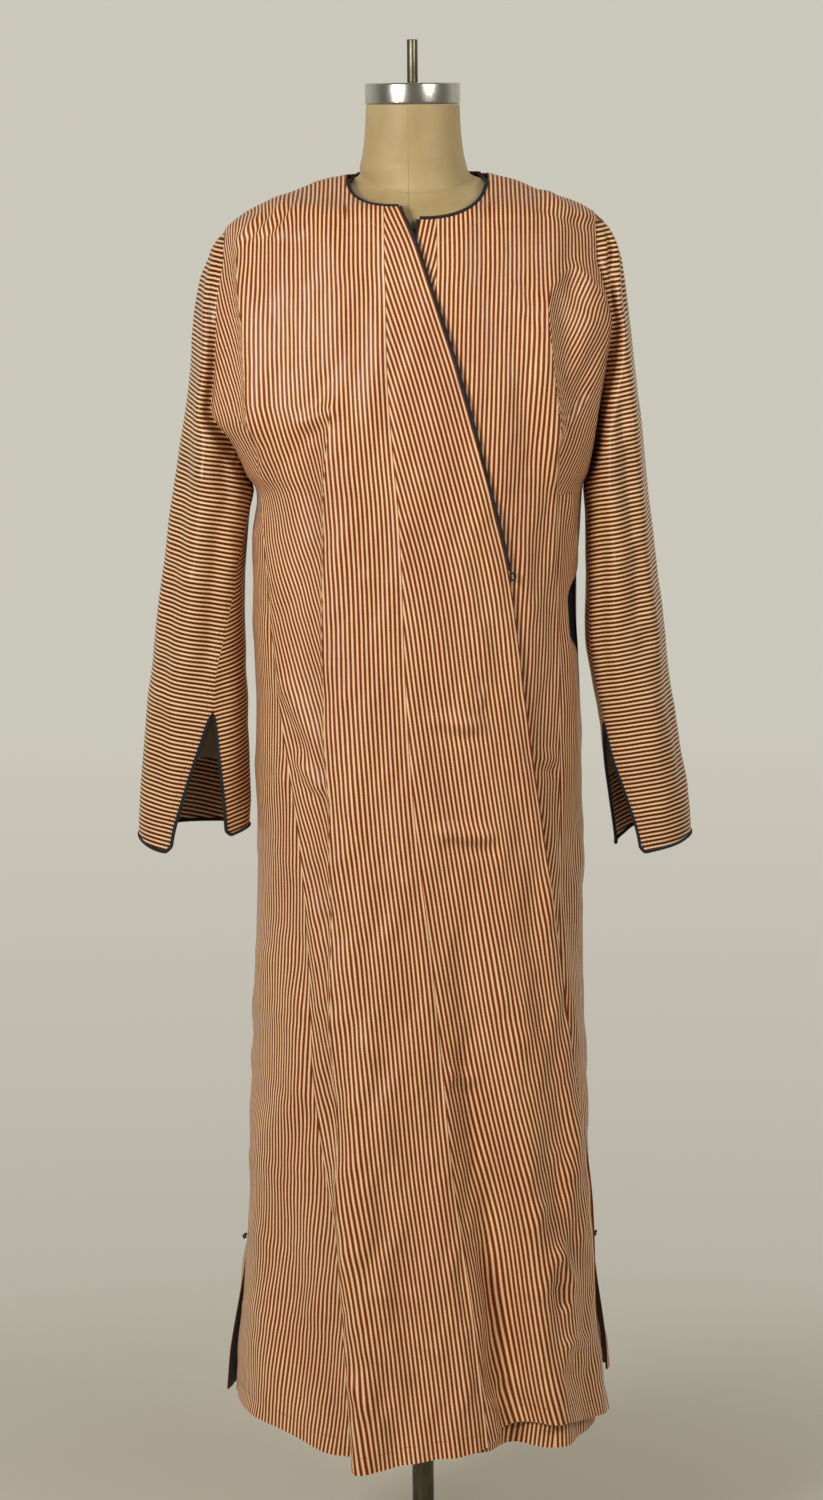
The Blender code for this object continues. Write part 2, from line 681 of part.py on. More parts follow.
def neck_braid(gore_right, panel_right, back, panel_left, gore_left):
    """The cord that binds the neckline, from the over front's corner round to the under front's."""
    pieces = (gore_right, panel_right, back, panel_left, gore_left)
    over_gore, over, behind, under, under_gore = [beyond(grid[-1], grid[-2]) for grid in pieces]
    right_corner, left_corner = len(NECK_COLUMNS["right"]), len(NECK_COLUMNS["left"])
    back_left = len(RIDGE_COLUMNS["left"]) - 1
    back_right = len(behind) - len(RIDGE_COLUMNS["right"])
    path = over_gore[:0:-1] + [between(over_gore[0], over[0])] + over[1:right_corner]
    path += [between(over[right_corner], behind[back_right])]
    path += behind[back_right - 1:back_left:-1]
    path += [between(behind[back_left], under[left_corner])]
    path += under[left_corner - 1:0:-1] + [between(under[0], under_gore[0])] + under_gore[1:]
    tube("neck_braid", path, BRAID_RADIUS, "dark_braid")


def edge_braid(side, grid, low_z):
    """The cord along the free edge of a front piece, from just under its corner to this height."""
    whole = beyond(grid[:, -1], grid[:, -2])
    first = next(i for i, point in enumerate(whole) if point.z > low_z)
    share = (low_z - whole[first - 1].z) / (whole[first].z - whole[first - 1].z)
    path = [whole[first - 1].lerp(whole[first], share)] + whole[first:]
    path[-1] = path[-2].lerp(path[-1], BRAID_CORNER_SHARE)
    tube(f"edge_braid_{side}", path, BRAID_RADIUS, "dark_braid")


def cuff_braid(side, grid):
    """The cord up both edges of the slit and round the cuff."""
    rows = [i for i in range(len(grid)) if grid[i, 0, 2] < SLIT_TOP_Z[side] - 20]
    first, last = beyond(grid[rows, 0], grid[rows, 1]), beyond(grid[rows, -1], grid[rows, -2])
    hem = beyond(grid[0], grid[1])
    corners = [first[0] + hem[0] - Vector(grid[0, 0]), last[0] + hem[-1] - Vector(grid[0, -1])]
    path = first[:0:-1] + [corners[0]] + hem[1:-1] + [corners[1]] + last[1:]
    tube(f"cuff_braid_{side}", path, BRAID_RADIUS, "dark_braid")


def under_patch(name, grid, low_z, high_z, width):
    """A dark facing against the inside of a piece's outer edge, made from that piece's points."""
    rows = [i for i in range(len(grid)) if low_z <= grid[i, -1, 2] <= high_z]
    normals = np.cross(grid[:, -2] - grid[:, -1], np.gradient(grid[:, -1], axis=0))
    patch = []
    for i in rows:
        inward = Vector(normals[i]).normalized()
        if inward.dot(Vector((grid[i, -1, 0], grid[i, -1, 1], 0))) > 0:
            inward = -inward
        rim, inner = Vector(grid[i, -1]), Vector(grid[i, -2])
        across = (inner - rim).normalized()
        steps = (FACING_SET_BACK, width)
        patch.append([rim + inward * (WALL + BRAID_GAP) + across * step for step in steps])
    cloth_wall(name, np.array(patch), "navy_facing")


def vent_knot(side):
    """The knot of cord that stays the top of a side vent."""
    place = ring_point(side_turn(side, "front"), VENT_TOP_Z, WALL / 2 + BRAID_GAP + KNOT_RADIUS)
    shape = bmesh.new()
    bmesh.ops.create_uvsphere(shape, u_segments=8, v_segments=6, radius=KNOT_RADIUS)
    knot = add_object(f"vent_knot_{side}", shape, "dark_braid")
    knot.location = place * MM


def edge_loop():
    """The small cord loop at the foot of the edge braid."""
    turn = front_line("over_edge")(LOOP_Z)
    place = ring_point(turn, LOOP_Z, over_lift(turn, LOOP_Z)) + Vector((LOOP_RADIUS, 0, 0))
    path = []
    for step in range(12):
        angle = math.tau * step / 12
        path.append(place + Vector((0.7 * math.cos(angle), 0, math.sin(angle))) * LOOP_RADIUS)
    tube("edge_loop", path, LOOP_CORD, "dark_braid", closed=True)


# The form's neck and torso, by height: the neck's radius, and the torso's half width and depths.
FORM = Table("z neck half front back", [
    (1731, 52.5, 20, 10, 10), (1700, 54, 20, 10, 10), (1675, 57, 24, 10, 14), (1661, 60, 36, 10, 26),
    (1654, 60, 50, 10, 34), (1648, 60, 74, 14, 42), (1640, 60, 108, 30, 57), (1629, 64, 149, 56, 72),
    (1620, 64, 176, 74, 83), (1612, 64, 190, 84, 88), (1600, 62, 198, 92, 93), (1580, 60, 198, 98, 98),
    (1550, 60, 194, 104, 103), (1500, 60, 184, 112, 109), (1440, 60, 168, 118, 110),
    (1380, 60, 160, 116, 106), (1300, 60, 148, 104, 98), (1200, 60, 142, 96, 92),
    (1100, 60, 152, 98, 98), (1000, 60, 162, 102, 104), (950, 60, 164, 102, 104),
    (905, 60, 160, 98, 102),
])


def form_ring(z, around=24):
    """The form's outline at this height: its round neck blended with its torso."""
    neck, half, front, back = (FORM.at(name, z) for name in ("neck", "half", "front", "back"))
    shift = TORSO_SHIFT * smooth_step(1665, 1640, z)
    ring = []
    for k in range(around):
        angle = math.tau * k / around
        depth = front if math.sin(angle) < 0 else back
        torso = 1 / math.hypot(math.cos(angle) / half, math.sin(angle) / depth)
        radius = (neck**BLEND + torso**BLEND) ** (1 / BLEND)
        ring.append(Vector((shift + radius * math.cos(angle), radius * math.sin(angle), z)))
    return ring


def stand_pieces():
    """The padded form, its neck cap and post, and the pole and base that it stands on."""
    solid_of_rings("form_torso", [form_ring(z) for z in FORM.values[:, 0]], "buff_canvas")
    cylinder("neck_cap", CAP_RADIUS, NECK_TOP_Z + SEAT_GAP, CAP_TOP_Z, 2.5, "brushed_metal", 32)
    cylinder("top_post", POST_RADIUS, CAP_TOP_Z + SEAT_GAP, POST_TOP_Z, 0, "dull_steel", 16)
    pole_ends = (BASE_THICKNESS + SEAT_GAP, TORSO_BOTTOM_Z - SEAT_GAP)
    cylinder("pole", POLE_RADIUS, *pole_ends, 0, "dull_steel", 20)
    cylinder("base", BASE_RADIUS, 0, BASE_THICKNESS, 2.5, "dull_steel", 48)


def body_pieces():
    """Every piece of the kaftan's body, and what is sewn to its edges."""
    over_hem, under_hem = foot_height(OVER_HEM), foot_height(UNDER_HEM)
    panel_right = front_panel("right", "over_seam", over_hem, over_lift)
    panel_left = front_panel("left", "under_seam", under_hem, no_lift)
    gore_right = front_gore("right", "over_seam", "over_edge", over_hem, over_lift, 7)
    gore_left = front_gore("left", "under_seam", "under_edge", under_hem, no_lift, 4)
    neck_braid(gore_right, panel_right, back_panel(), panel_left, gore_left)
    braid_end_z = LOOP_Z + LOOP_RADIUS + LOOP_CORD + BRAID_GAP
    edge_braid("right", gore_right, braid_end_z)
    edge_braid("left", gore_left, braid_end_z)
    edge_loop()
    for side in ("right", "left"):
        side_gore(side, "front")
        gusset(side, "front")
        gusset(side, "back")
        gore = side_gore(side, "back")
        under_patch(f"vent_facing_{side}", gore, 0, VENT_TOP_Z, VENT_FACING_WIDTH)
        under_patch(f"pocket_facing_{side}", gore, POCKET_LOW_Z, POCKET_TOP_Z, POCKET_FACING_WIDTH)
        vent_knot(side)
        cuff_braid(side, sleeve(side))


for old in list(bpy.data.objects):
    bpy.data.objects.remove(old)
STAND = bpy.data.objects.new("kaftan_on_form", None)
bpy.context.scene.collection.objects.link(STAND)
body_pieces()
stand_pieces()
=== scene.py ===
# %% [markdown]
# # A striped silk kaftan on a dress form
#
# A kaftan is cut from long straight strips of narrow silk with slanting gores between them, so its
# stripes tell how each piece was cut. This lesson dresses the imported model with cloth that follows
# the same measurements: fine grids of points, pushed into creases, with stripes that are
# measured along the cloth itself. Sizes are in millimetres until a mesh is made.

# %% Load the imported frame
import math

import bmesh
import bpy
import numpy as np
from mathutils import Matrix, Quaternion, Vector


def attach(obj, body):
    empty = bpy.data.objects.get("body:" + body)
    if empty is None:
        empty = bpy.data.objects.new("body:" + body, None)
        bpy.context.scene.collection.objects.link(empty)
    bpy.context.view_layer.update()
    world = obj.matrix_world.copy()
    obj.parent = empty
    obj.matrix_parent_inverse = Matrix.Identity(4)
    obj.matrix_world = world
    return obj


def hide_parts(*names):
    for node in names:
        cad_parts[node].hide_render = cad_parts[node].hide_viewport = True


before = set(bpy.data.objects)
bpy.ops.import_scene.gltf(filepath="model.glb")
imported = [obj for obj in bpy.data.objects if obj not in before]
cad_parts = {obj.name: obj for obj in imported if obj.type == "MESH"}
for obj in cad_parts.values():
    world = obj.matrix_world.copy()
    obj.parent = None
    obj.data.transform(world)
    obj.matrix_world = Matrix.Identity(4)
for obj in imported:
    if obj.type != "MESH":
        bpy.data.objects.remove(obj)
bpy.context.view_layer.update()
MM = 0.001

# %% [markdown]
# ## Reading sizes
#
# A garment is described by a few measured lines: a half width at the hem, at the waist and at the
# chest. Between them the cloth runs in a smooth curve. A spline object could hold that curve, but a
# small table with named columns is easier to read and to correct, so every outline here is one.

# %% A table that is read by a smooth curve
class Table:
    """A short table of sizes with named columns, read by a smooth curve down its first column."""

    def __init__(self, columns, rows):
        self.names = columns.split()
        self.values = np.array(sorted(rows), float)

    def at(self, name, where):
        knots = self.values[:, 0]
        heights = self.values[:, self.names.index(name)]
        steps = np.diff(heights) / np.diff(knots)
        slopes = np.empty(len(knots))
        slopes[0], slopes[-1] = steps[0], steps[-1]
        turning = steps[1:] * steps[:-1] <= 0
        slopes[1:-1] = np.where(turning, 0.0, 0.5 * (steps[1:] + steps[:-1]))
        where = np.clip(where, knots[0], knots[-1])
        i = np.clip(np.searchsorted(knots, where) - 1, 0, len(knots) - 2)
        span = knots[i + 1] - knots[i]
        t = (where - knots[i]) / span
        start = (1 + 2 * t) * (1 - t) ** 2 * heights[i] + t * (1 - t) ** 2 * span * slopes[i]
        end = t * t * (3 - 2 * t) * heights[i + 1] + t * t * (t - 1) * span * slopes[i + 1]
        return start + end


def smooth_step(low, high, value):
    t = np.clip((value - low) / (high - low), 0.0, 1.0)
    return t * t * (3 - 2 * t)


print("a smooth step half way up:", smooth_step(0, 1, 0.5))

# %% [markdown]
# ## The camera
#
# The picture was taken from about four and a half metres, a little above the shoulders, looking
# down at the robe. A long lens keeps the sides upright. The camera leans by less than half a
# degree, which is why the pole drifts to the right on its way down. The colours are shown as they
# are, without the film curve that Blender applies by default, since the silk's reds are strong.

# %% Put the camera where the photographer stood
CAMERA_PLACE = (-0.007, -4.5, 1.72)
CAMERA_TILT = math.radians(9.1)
CAMERA_LEAN = math.radians(0.45)
LENS = 95.2
SENSOR = 36.0

camera_data = bpy.data.cameras.new("camera")
camera_data.sensor_fit = "VERTICAL"
camera_data.sensor_height = SENSOR
camera_data.lens = LENS
camera = bpy.data.objects.new("camera", camera_data)
bpy.context.scene.collection.objects.link(camera)
bpy.context.scene.camera = camera
camera.location = CAMERA_PLACE
camera.rotation_mode = "QUATERNION"
looking_down = Quaternion((1, 0, 0), math.pi / 2 - CAMERA_TILT)
camera.rotation_quaternion = looking_down @ Quaternion((0, 0, 1), -CAMERA_LEAN)
bpy.context.scene.view_settings.view_transform = "Standard"
print("camera at", tuple(round(c, 3) for c in camera.location))

# %% [markdown]
# ## Helpers for finishes
#
# Every finish is a small tree of nodes. Writing the links out one by one hides what they do, so
# these helpers let a material read like a recipe: make a node, set its values, join it to others.

# %% Node helpers
def new_material(name):
    made = bpy.data.materials.new(name)
    made.use_nodes = True
    return made, made.node_tree, made.node_tree.nodes["Principled BSDF"]


def add_node(tree, kind, inputs=(), **settings):
    """A node with its settings. Each input is given as (socket, value or output)."""
    node = tree.nodes.new(kind)
    for name, value in settings.items():
        setattr(node, name, value)
    for socket, value in inputs:
        if isinstance(value, bpy.types.NodeSocket):
            tree.links.new(value, node.inputs[socket])
        else:
            node.inputs[socket].default_value = value
    return node


def calculate(tree, operation, first, second=0.0, third=0.0):
    node = add_node(tree, "ShaderNodeMath", [(0, first), (1, second), (2, third)], operation=operation)
    return node.outputs[0]


def stretched_noise(tree, along, scale, detail=2.0):
    """Noise read at a place that is stretched by the three factors."""
    place = add_node(tree, "ShaderNodeVectorMath", [(0, along), (1, scale)], operation="MULTIPLY")
    inputs = [("Vector", place.outputs[0]), ("Scale", 1.0), ("Detail", detail)]
    return add_node(tree, "ShaderNodeTexNoise", inputs).outputs["Fac"]


def colour_between(tree, factor, first, second):
    inputs = [(0, factor), (6, first), (7, second)]
    return add_node(tree, "ShaderNodeMix", inputs, data_type="RGBA").outputs[2]


def number_between(tree, factor, first, second):
    return add_node(tree, "ShaderNodeMix", [(0, factor), (2, first), (3, second)]).outputs[0]


def remap(tree, value, low, high, new_low, new_high, soft=False):
    kind = "SMOOTHSTEP" if soft else "LINEAR"
    inputs = [("Value", value), ("From Min", low), ("From Max", high)]
    inputs += [("To Min", new_low), ("To Max", new_high)]
    return add_node(tree, "ShaderNodeMapRange", inputs, interpolation_type=kind).outputs[0]


def bump(tree, shader, height, strength, distance, before=None):
    inputs = [("Height", height), ("Strength", strength), ("Distance", distance)]
    if before is not None:
        inputs.append(("Normal", before))
    made = add_node(tree, "ShaderNodeBump", inputs).outputs[0]
    tree.links.new(made, shader.inputs["Normal"])
    return made


print("helpers ready")

# %% [markdown]
# ## Striped silk
#
# The silk is woven with warp stripes: about two and a half millimetres of rust red, then as much
# cream. A painted image could carry them, but it would have to be unwrapped piece by piece. Here
# each piece of cloth stores its own measured distances, in an attribute, so the stripes bend,
# close up and meet at seams just as they do on the real robe. Where a deep fold swallows cloth,
# the distance jumps: each point keeps up to three readings and says which side of a fold it is on.
#
# Silk catches light along its threads. A low roughness with a little sheen gives that, and fine
# noise drawn out along the threads breaks the colour up as slubs and wear do. Broad noise also turns
# patches of the dark stripes golden brown: painted sheen, the cast satin takes where it catches light.

# %% The striped silk finish
STRIPE_PERIOD = 0.0050


def striped_silk(name, dark, darker, sheen_brown, light, golden, roughness=0.44):
    """Striped silk: a dark stripe is darker along its middle, a light one is golden at its edges."""
    made, tree, shader = new_material(name)
    cut = add_node(tree, "ShaderNodeAttribute", attribute_name="cut")
    fold = add_node(tree, "ShaderNodeAttribute", attribute_name="fold")
    cut_parts = add_node(tree, "ShaderNodeSeparateXYZ", [(0, cut.outputs["Vector"])])
    fold_parts = add_node(tree, "ShaderNodeSeparateXYZ", [(0, fold.outputs["Vector"])])
    first_jump = calculate(tree, "GREATER_THAN", fold_parts.outputs[1], 0.0)
    second_jump = calculate(tree, "GREATER_THAN", fold_parts.outputs[2], 0.0)
    past_first = number_between(tree, first_jump, cut_parts.outputs[0], cut_parts.outputs[2])
    across = number_between(tree, second_jump, past_first, fold_parts.outputs[0])
    along = cut_parts.outputs[1]
    place = add_node(tree, "ShaderNodeCombineXYZ", [(0, across), (1, along)]).outputs[0]
    drift = stretched_noise(tree, place, (22.0, 9.0, 1.0))
    wandering = calculate(tree, "MULTIPLY_ADD", drift, 0.0011, across)
    wave = calculate(tree, "PINGPONG", wandering, STRIPE_PERIOD / 2)
    into_dark, stripe, into_light = (
        remap(tree, wave, STRIPE_PERIOD * start, STRIPE_PERIOD * end, 0.0, 1.0, soft=True)
        for start, end in ((0.02, 0.20), (0.215, 0.29), (0.28, 0.42))
    )
    slub = stretched_noise(tree, place, (1900.0, 55.0, 1.0), 3.0)
    shade = stretched_noise(tree, place, (16.0, 7.0, 1.0), 3.0)
    dark_mix = colour_between(tree, into_dark, darker, dark)
    # Patches of the dark stripes turn golden brown here: painted sheen, the cast satin takes where it
    # catches the light.
    dark_mix = colour_between(tree, remap(tree, shade, 0.42, 0.72, 0.0, 0.8), dark_mix, sheen_brown)
    light_mix = colour_between(tree, into_light, golden, light)
    stripes = colour_between(tree, stripe, dark_mix, light_mix)
    faded = remap(tree, shade, 0.3, 0.7, 0.9, 1.06)
    slubbed = remap(tree, slub, 0.3, 0.7, 0.82, 1.1)
    value = calculate(tree, "MULTIPLY", faded, slubbed)
    worn = add_node(tree, "ShaderNodeHueSaturation", [("Value", value), ("Color", stripes)])
    tree.links.new(worn.outputs[0], shader.inputs["Base Color"])
    dull = remap(tree, shade, 0.3, 0.7, roughness - 0.05, roughness + 0.08)
    tree.links.new(dull, shader.inputs["Roughness"])
    shader.inputs["Sheen Weight"].default_value = 0.02
    shader.inputs["Sheen Roughness"].default_value = 0.35
    shader.inputs["Sheen Tint"].default_value = (1.0, 0.86, 0.7, 1.0)
    shader.inputs["Specular IOR Level"].default_value = 0.25
    crumple = stretched_noise(tree, place, (75.0, 48.0, 1.0), 4.0)
    crumpled = bump(tree, shader, crumple, 0.3, 0.0009)
    weft = stretched_noise(tree, place, (700.0, 2400.0, 1.0), 2.0)
    bump(tree, shader, calculate(tree, "ADD", weft, stripe), 0.25, 0.00018, crumpled)
    return made


body_silk = striped_silk(
    "body_silk",
    dark=(0.26, 0.032, 0.002, 1), darker=(0.18, 0.021, 0.002, 1), sheen_brown=(0.18, 0.042, 0.003, 1),
    light=(0.95, 0.71, 0.45, 1), golden=(0.76, 0.37, 0.13, 1),
)
# The sleeves take a copy of the same silk with much darker dark stripes: painted shade, since their
# threads run round the arm and catch the light less than the body's.
sleeve_silk = striped_silk(
    "sleeve_silk",
    dark=(0.125, 0.022, 0.002, 1), darker=(0.08, 0.013, 0.001, 1), sheen_brown=(0.10, 0.030, 0.002, 1),
    light=(0.97, 0.73, 0.47, 1), golden=(0.66, 0.32, 0.10, 1), roughness=0.34,
)
print("silks:", body_silk.name, sleeve_silk.name)

# %% [markdown]
# ## The plainer cloths
#
# The cords and the facings are a blue-black cotton, dull beside the silk. The form's neck is
# unbleached canvas, smooth from handling and a little stained. Each is one colour broken up by
# noise of two sizes: a coarse one for stains and a fine one for the thread.

# %% Plain cloth finishes
def plain_cloth(name, colour, stained, roughness, thread, bump_depth, sheen=0.1):
    """Plain cloth. Thread is the scale of its fine noise, and the bump depth is in metres."""
    made, tree, shader = new_material(name)
    place = add_node(tree, "ShaderNodeTexCoord").outputs["Object"]
    blotch = stretched_noise(tree, place, (24.0, 24.0, 16.0), 4.0)
    fine = stretched_noise(tree, place, (thread, thread, thread), 2.0)
    mixed = calculate(tree, "MULTIPLY_ADD", fine, 0.35, calculate(tree, "MULTIPLY", blotch, 0.65))
    tree.links.new(
        colour_between(tree, remap(tree, mixed, 0.35, 0.66, 0.0, 1.0), colour, stained),
        shader.inputs["Base Color"],
    )
    shader.inputs["Roughness"].default_value = roughness
    shader.inputs["Sheen Weight"].default_value = sheen
    bump(tree, shader, fine, 0.4, bump_depth)
    return made


cord_cloth = plain_cloth(
    "cord_cloth", (0.003, 0.006, 0.009, 1), (0.010, 0.019, 0.024, 1), 0.7, 1400, 0.0002, sheen=0.0
)
facing_cloth = plain_cloth(
    "facing_cloth", (0.005, 0.011, 0.019, 1), (0.010, 0.022, 0.034, 1), 0.7, 1100, 0.0002, sheen=0.0
)
lining_cloth = plain_cloth(
    "lining_cloth", (0.50, 0.44, 0.32, 1), (0.38, 0.32, 0.21, 1), 0.8, 900, 0.0002
)
canvas_cloth = plain_cloth(
    "canvas_cloth", (0.53, 0.405, 0.19, 1), (0.42, 0.30, 0.125, 1), 0.55, 1300, 0.00012
)
pale_thread = plain_cloth(
    "pale_thread", (0.55, 0.38, 0.22, 1), (0.42, 0.26, 0.14, 1), 0.7, 1500, 0.0001
)
brown_thread = plain_cloth(
    "brown_thread", (0.10, 0.03, 0.014, 1), (0.16, 0.055, 0.025, 1), 0.7, 1500, 0.0001
)
seam_thread = plain_cloth(
    "seam_thread", (0.33, 0.23, 0.10, 1), (0.40, 0.29, 0.13, 1), 0.7, 1500, 0.0001
)
print("plain cloths: 7")

# %% [markdown]
# ## The metals
#
# The cap is turned aluminium, brushed round and round, so its highlight stands up as a bright
# bar. The post, the pole and the base are bare steel gone dull. Brushing is noise that is drawn
# out round the cap and very fine up it.

# %% Metal finishes
def turned_metal(name, colour, worn, roughness, spread):
    made, tree, shader = new_material(name)
    place = add_node(tree, "ShaderNodeTexCoord").outputs["Object"]
    rings = stretched_noise(tree, place, (6.0, 6.0, 2600.0), 2.0)
    patches = stretched_noise(tree, place, (60.0, 60.0, 24.0), 4.0)
    tree.links.new(
        colour_between(tree, remap(tree, patches, 0.35, 0.7, 0.0, 1.0), colour, worn),
        shader.inputs["Base Color"],
    )
    shader.inputs["Metallic"].default_value = 1.0
    rough = remap(tree, patches, 0.3, 0.7, roughness - spread, roughness + spread)
    tree.links.new(rough, shader.inputs["Roughness"])
    bump(tree, shader, rings, 0.3, 0.00006)
    return made


cap_metal = turned_metal("cap_metal", (0.60, 0.60, 0.55, 1), (0.50, 0.50, 0.45, 1), 0.24, 0.05)
dull_metal = turned_metal("dull_metal", (0.17, 0.155, 0.11, 1), (0.10, 0.09, 0.06, 1), 0.42, 0.1)
print("metals:", cap_metal.name, dull_metal.name)

# %% [markdown]
# ## The body's shape
#
# The robe's body is one surface, from which every piece is cut: a stack of rounded horizontal
# rings, wide at the hem, pulled out into a web at each armhole, closing to the shoulder ridge.
# A point on it is named by its height and its turn, which is 0 at the middle front and a quarter
# turn at the wearer's left. Half widths come from the outline, depths from a figure of that size.

# %% Heights that the pieces share
WALL = 0.9
WRAP_LIFT = 5.0
SKIRT_LIFT = 4.0
NECK_Z = 1654.0
SHOULDER_Z = 1560.0
GUSSET_TOP_Z = 1460.0
WAIST_SEAM_Z = 1300.0
VENT_TOP_Z = 424.0
FOOT_Z = 230.0
OUT = {"right": -1, "left": 1}

# %% Half widths, depths and the armholes
SIDES = {
    "right": Table("z half", [
        (1654, 75), (1648, 102), (1637, 132), (1626, 162), (1615, 185), (1604, 201), (1591, 213),
        (1313, 182), (1289, 180), (1243, 186), (1174, 185), (1059, 184), (942, 184), (825, 186),
        (707, 191), (588, 194), (468, 199), (346, 209), (235, 219), (180, 222),
    ]),
    "left": Table("z half", [
        (1654, 84), (1648, 110), (1635, 142), (1624, 177), (1612, 200), (1609, 204),
        (1301, 189), (1286, 188), (1217, 183), (1171, 181), (1114, 184), (1056, 186), (939, 188),
        (822, 189), (704, 190), (585, 193), (464, 198), (343, 204), (250, 207), (180, 208),
    ]),
}
DEPTHS = Table("z front back square", [
    (1654, 16, 68, 2.0), (1648, 30, 74, 2.0), (1640, 49, 80, 2.0), (1629, 68, 87, 2.0),
    (1620, 88, 92, 2.0), (1600, 100, 100, 2.05), (1580, 107, 105, 2.1), (1530, 118, 114, 2.3),
    (1480, 124, 119, 2.4), (1420, 130, 122, 2.4), (1300, 133, 118, 2.4), (1200, 134, 116, 2.4),
    (1000, 139, 122, 2.35), (800, 145, 130, 2.3), (600, 151, 138, 2.25), (400, 159, 147, 2.2),
    (180, 169, 157, 2.2),
])
ARMHOLES = {
    "right": Table("z seam middle outer depth", [
        (1587, 213, 213, 217, 8), (1575, 213, 213, 227, 22), (1560, 213, 213, 232, 32),
        (1539, 217, 217, 239, 40), (1507, 221, 221, 246, 49), (1481, 222, 222, 249, 53),
        (1433, 225, 225, 253, 57), (1395, 229, 229, 259, 59), (1355, 206, 228, 266, 61),
        (1300, 184, 228, 273, 62),
    ]),
    "left": Table("z seam middle outer depth", [
        (1605, 204, 204, 210, 8), (1590, 204, 204, 221, 24), (1560, 204, 204, 233, 40),
        (1541, 209, 209, 236, 45), (1514, 216, 216, 239, 52), (1489, 221, 221, 242, 56),
        (1444, 216, 222, 247, 58), (1390, 208, 224, 254, 60), (1350, 202, 226, 259, 61),
        (1300, 191, 227.5, 264, 62),
    ]),
}
RIDGE_END_Z = {"right": 1591.0, "left": 1609.0}
RIDGE_END_X = {"right": 213.0, "left": 204.0}
print("chest half width on the right:", SIDES["right"].at("half", 1400.0).round(1))

# %% The lines where the front pieces meet or end
FRONT_LINES = Table("z over_seam over_edge under_seam under_edge side_right under_side side_left", [
    (1622, -32, -17, 25, 10, -178, -178, 160), (1581, -32, 1, 25, 1, -178, -178, 160),
    (1560, -32, 8, 25, -4, -178, -178, 160), (1532, -31, 17, 24, -12, -178, -178, 160),
    (1440, -30, 46, 21, -30, -178, -178, 161), (1333, -23, 74, 17, -48, -176, -176, 160),
    (1300, -20, 82, 16, -52, -174, -174, 160), (1219, -16, 100, 14, -58, -168, -168, 158),
    (1079, -12, 116, 12, -60, -157, -157, 160), (935, -3, 131, 9, -60, -137, -137, 160),
    (791, 13, 147, 7, -60, -125, -125, 158), (643, 26, 163, 5, -60, -121, -121, 155),
    (538, 35, 176, 3, -60, -108, -108, 152), (470, 44, 184, 2, -60, -94, -91, 150),
    (388, 55, 191, 1, -60, -88, -82, 150), (254, 70, 201, 0, -60, -80, -72, 150),
    (180, 78, 205, 0, -60, -76, -68, 150),
])
SIDE_LINE = {"right": "side_right", "left": "side_left"}
NECK = {
    "right": {"inner": 17.0, "outer": 75.0, "z": 1620.0, "square": 2.6},
    "left": {"inner": 10.0, "outer": 84.0, "z": 1606.0, "square": 2.3},
}
BACK_SEAM_X = 138.0
OVER_HEM = Table("x z", [
    (-90, 196), (-76, 196), (2, 209), (73, 221), (90, 232), (120, 238), (150, 240), (180, 232),
    (215, 222),
])
SIDE_HEM = Table("x z", [(-219, 238), (-189, 234), (-144, 222), (-119, 212), (-70, 208)])
UNDER_HEM = Table("x z", [(-80, 214), (80, 212), (161, 206), (185, 208), (215, 218)])
BACK_HEM = Table("x z", [
    (-230, 242), (-200, 232), (-120, 218), (0, 210), (120, 216), (180, 230), (212, 262), (230, 266),
])
print("over front's free edge at the waist:", FRONT_LINES.at("over_edge", 1300.0).round(1))

# %% [markdown]
# ## Large folds
#
# Long folds give the skirt its shape. Each runs from a top to a bottom and grows on the way down.
# They move the shared surface, so the cloth under the wrap follows the cloth over it.

# %% The folds of the skirt and of the back
# Each row: face, x at the top and at the bottom, z at the top and at the bottom, width, height.
FOLDS = [
    ("front", -62, -62, 1380, 200, 26, 9),
    ("front", 30, 114, 860, 200, 30, -24),
    ("front", 104, 158, 900, 200, 20, 8),
    ("front", -150, -140, 640, 200, 20, -9),
    ("front", -178, -188, 720, 200, 18, 6),
    ("back", -150, -165, 900, 200, 26, 8),
    ("back", -105, -118, 1250, 200, 26, -12),
    ("back", -60, -66, 1150, 200, 26, 10),
    ("back", -12, -10, 1350, 200, 26, -11),
    ("back", 42, 48, 1150, 200, 26, 11),
    ("back", 96, 108, 1250, 200, 26, -12),
    ("back", 146, 160, 900, 200, 26, 8),
]


def fold_height(is_front, x, z):
    total = np.zeros(np.broadcast(x, z).shape)
    for face, x_top, x_bottom, z_top, z_bottom, width, height in FOLDS:
        down = np.clip((z_top - z) / (z_top - z_bottom), 0, 1.1)
        middle = x_top + (x_bottom - x_top) * down
        rise = height * down**1.1 * np.exp(-(((x - middle) / width) ** 2))
        total += np.where(is_front == (face == "front"), rise, 0)
    return total


print("large folds:", len(FOLDS))

# %% A point on the body's surface
def armhole_seam(side, z):
    """Distance out and depth of the armhole seam at this height."""
    table = ARMHOLES[side]
    seam, middle, outer = (table.at(name, z) for name in ("seam", "middle", "outer"))
    across = np.clip((seam - middle) / (outer - middle), -1, 1)
    return seam, table.at("depth", z) * np.sqrt(1 - across**2)


def half_width(side, z, reach):
    """Half width of the ring at this height, so that in the armhole it passes through the seam."""
    seam, depth = armhole_seam(side, z)
    square = DEPTHS.at("square", z)
    fitted = seam / (1 - np.minimum(0.9, depth / reach) ** square) ** (1 / square)
    plain = SIDES[side].at("half", z)
    in_armhole = smooth_step(WAIST_SEAM_Z, WAIST_SEAM_Z + 22, z)
    in_armhole = in_armhole * (1 - smooth_step(RIDGE_END_Z[side] - 14, RIDGE_END_Z[side] - 4, z))
    return plain + (fitted - plain) * in_armhole


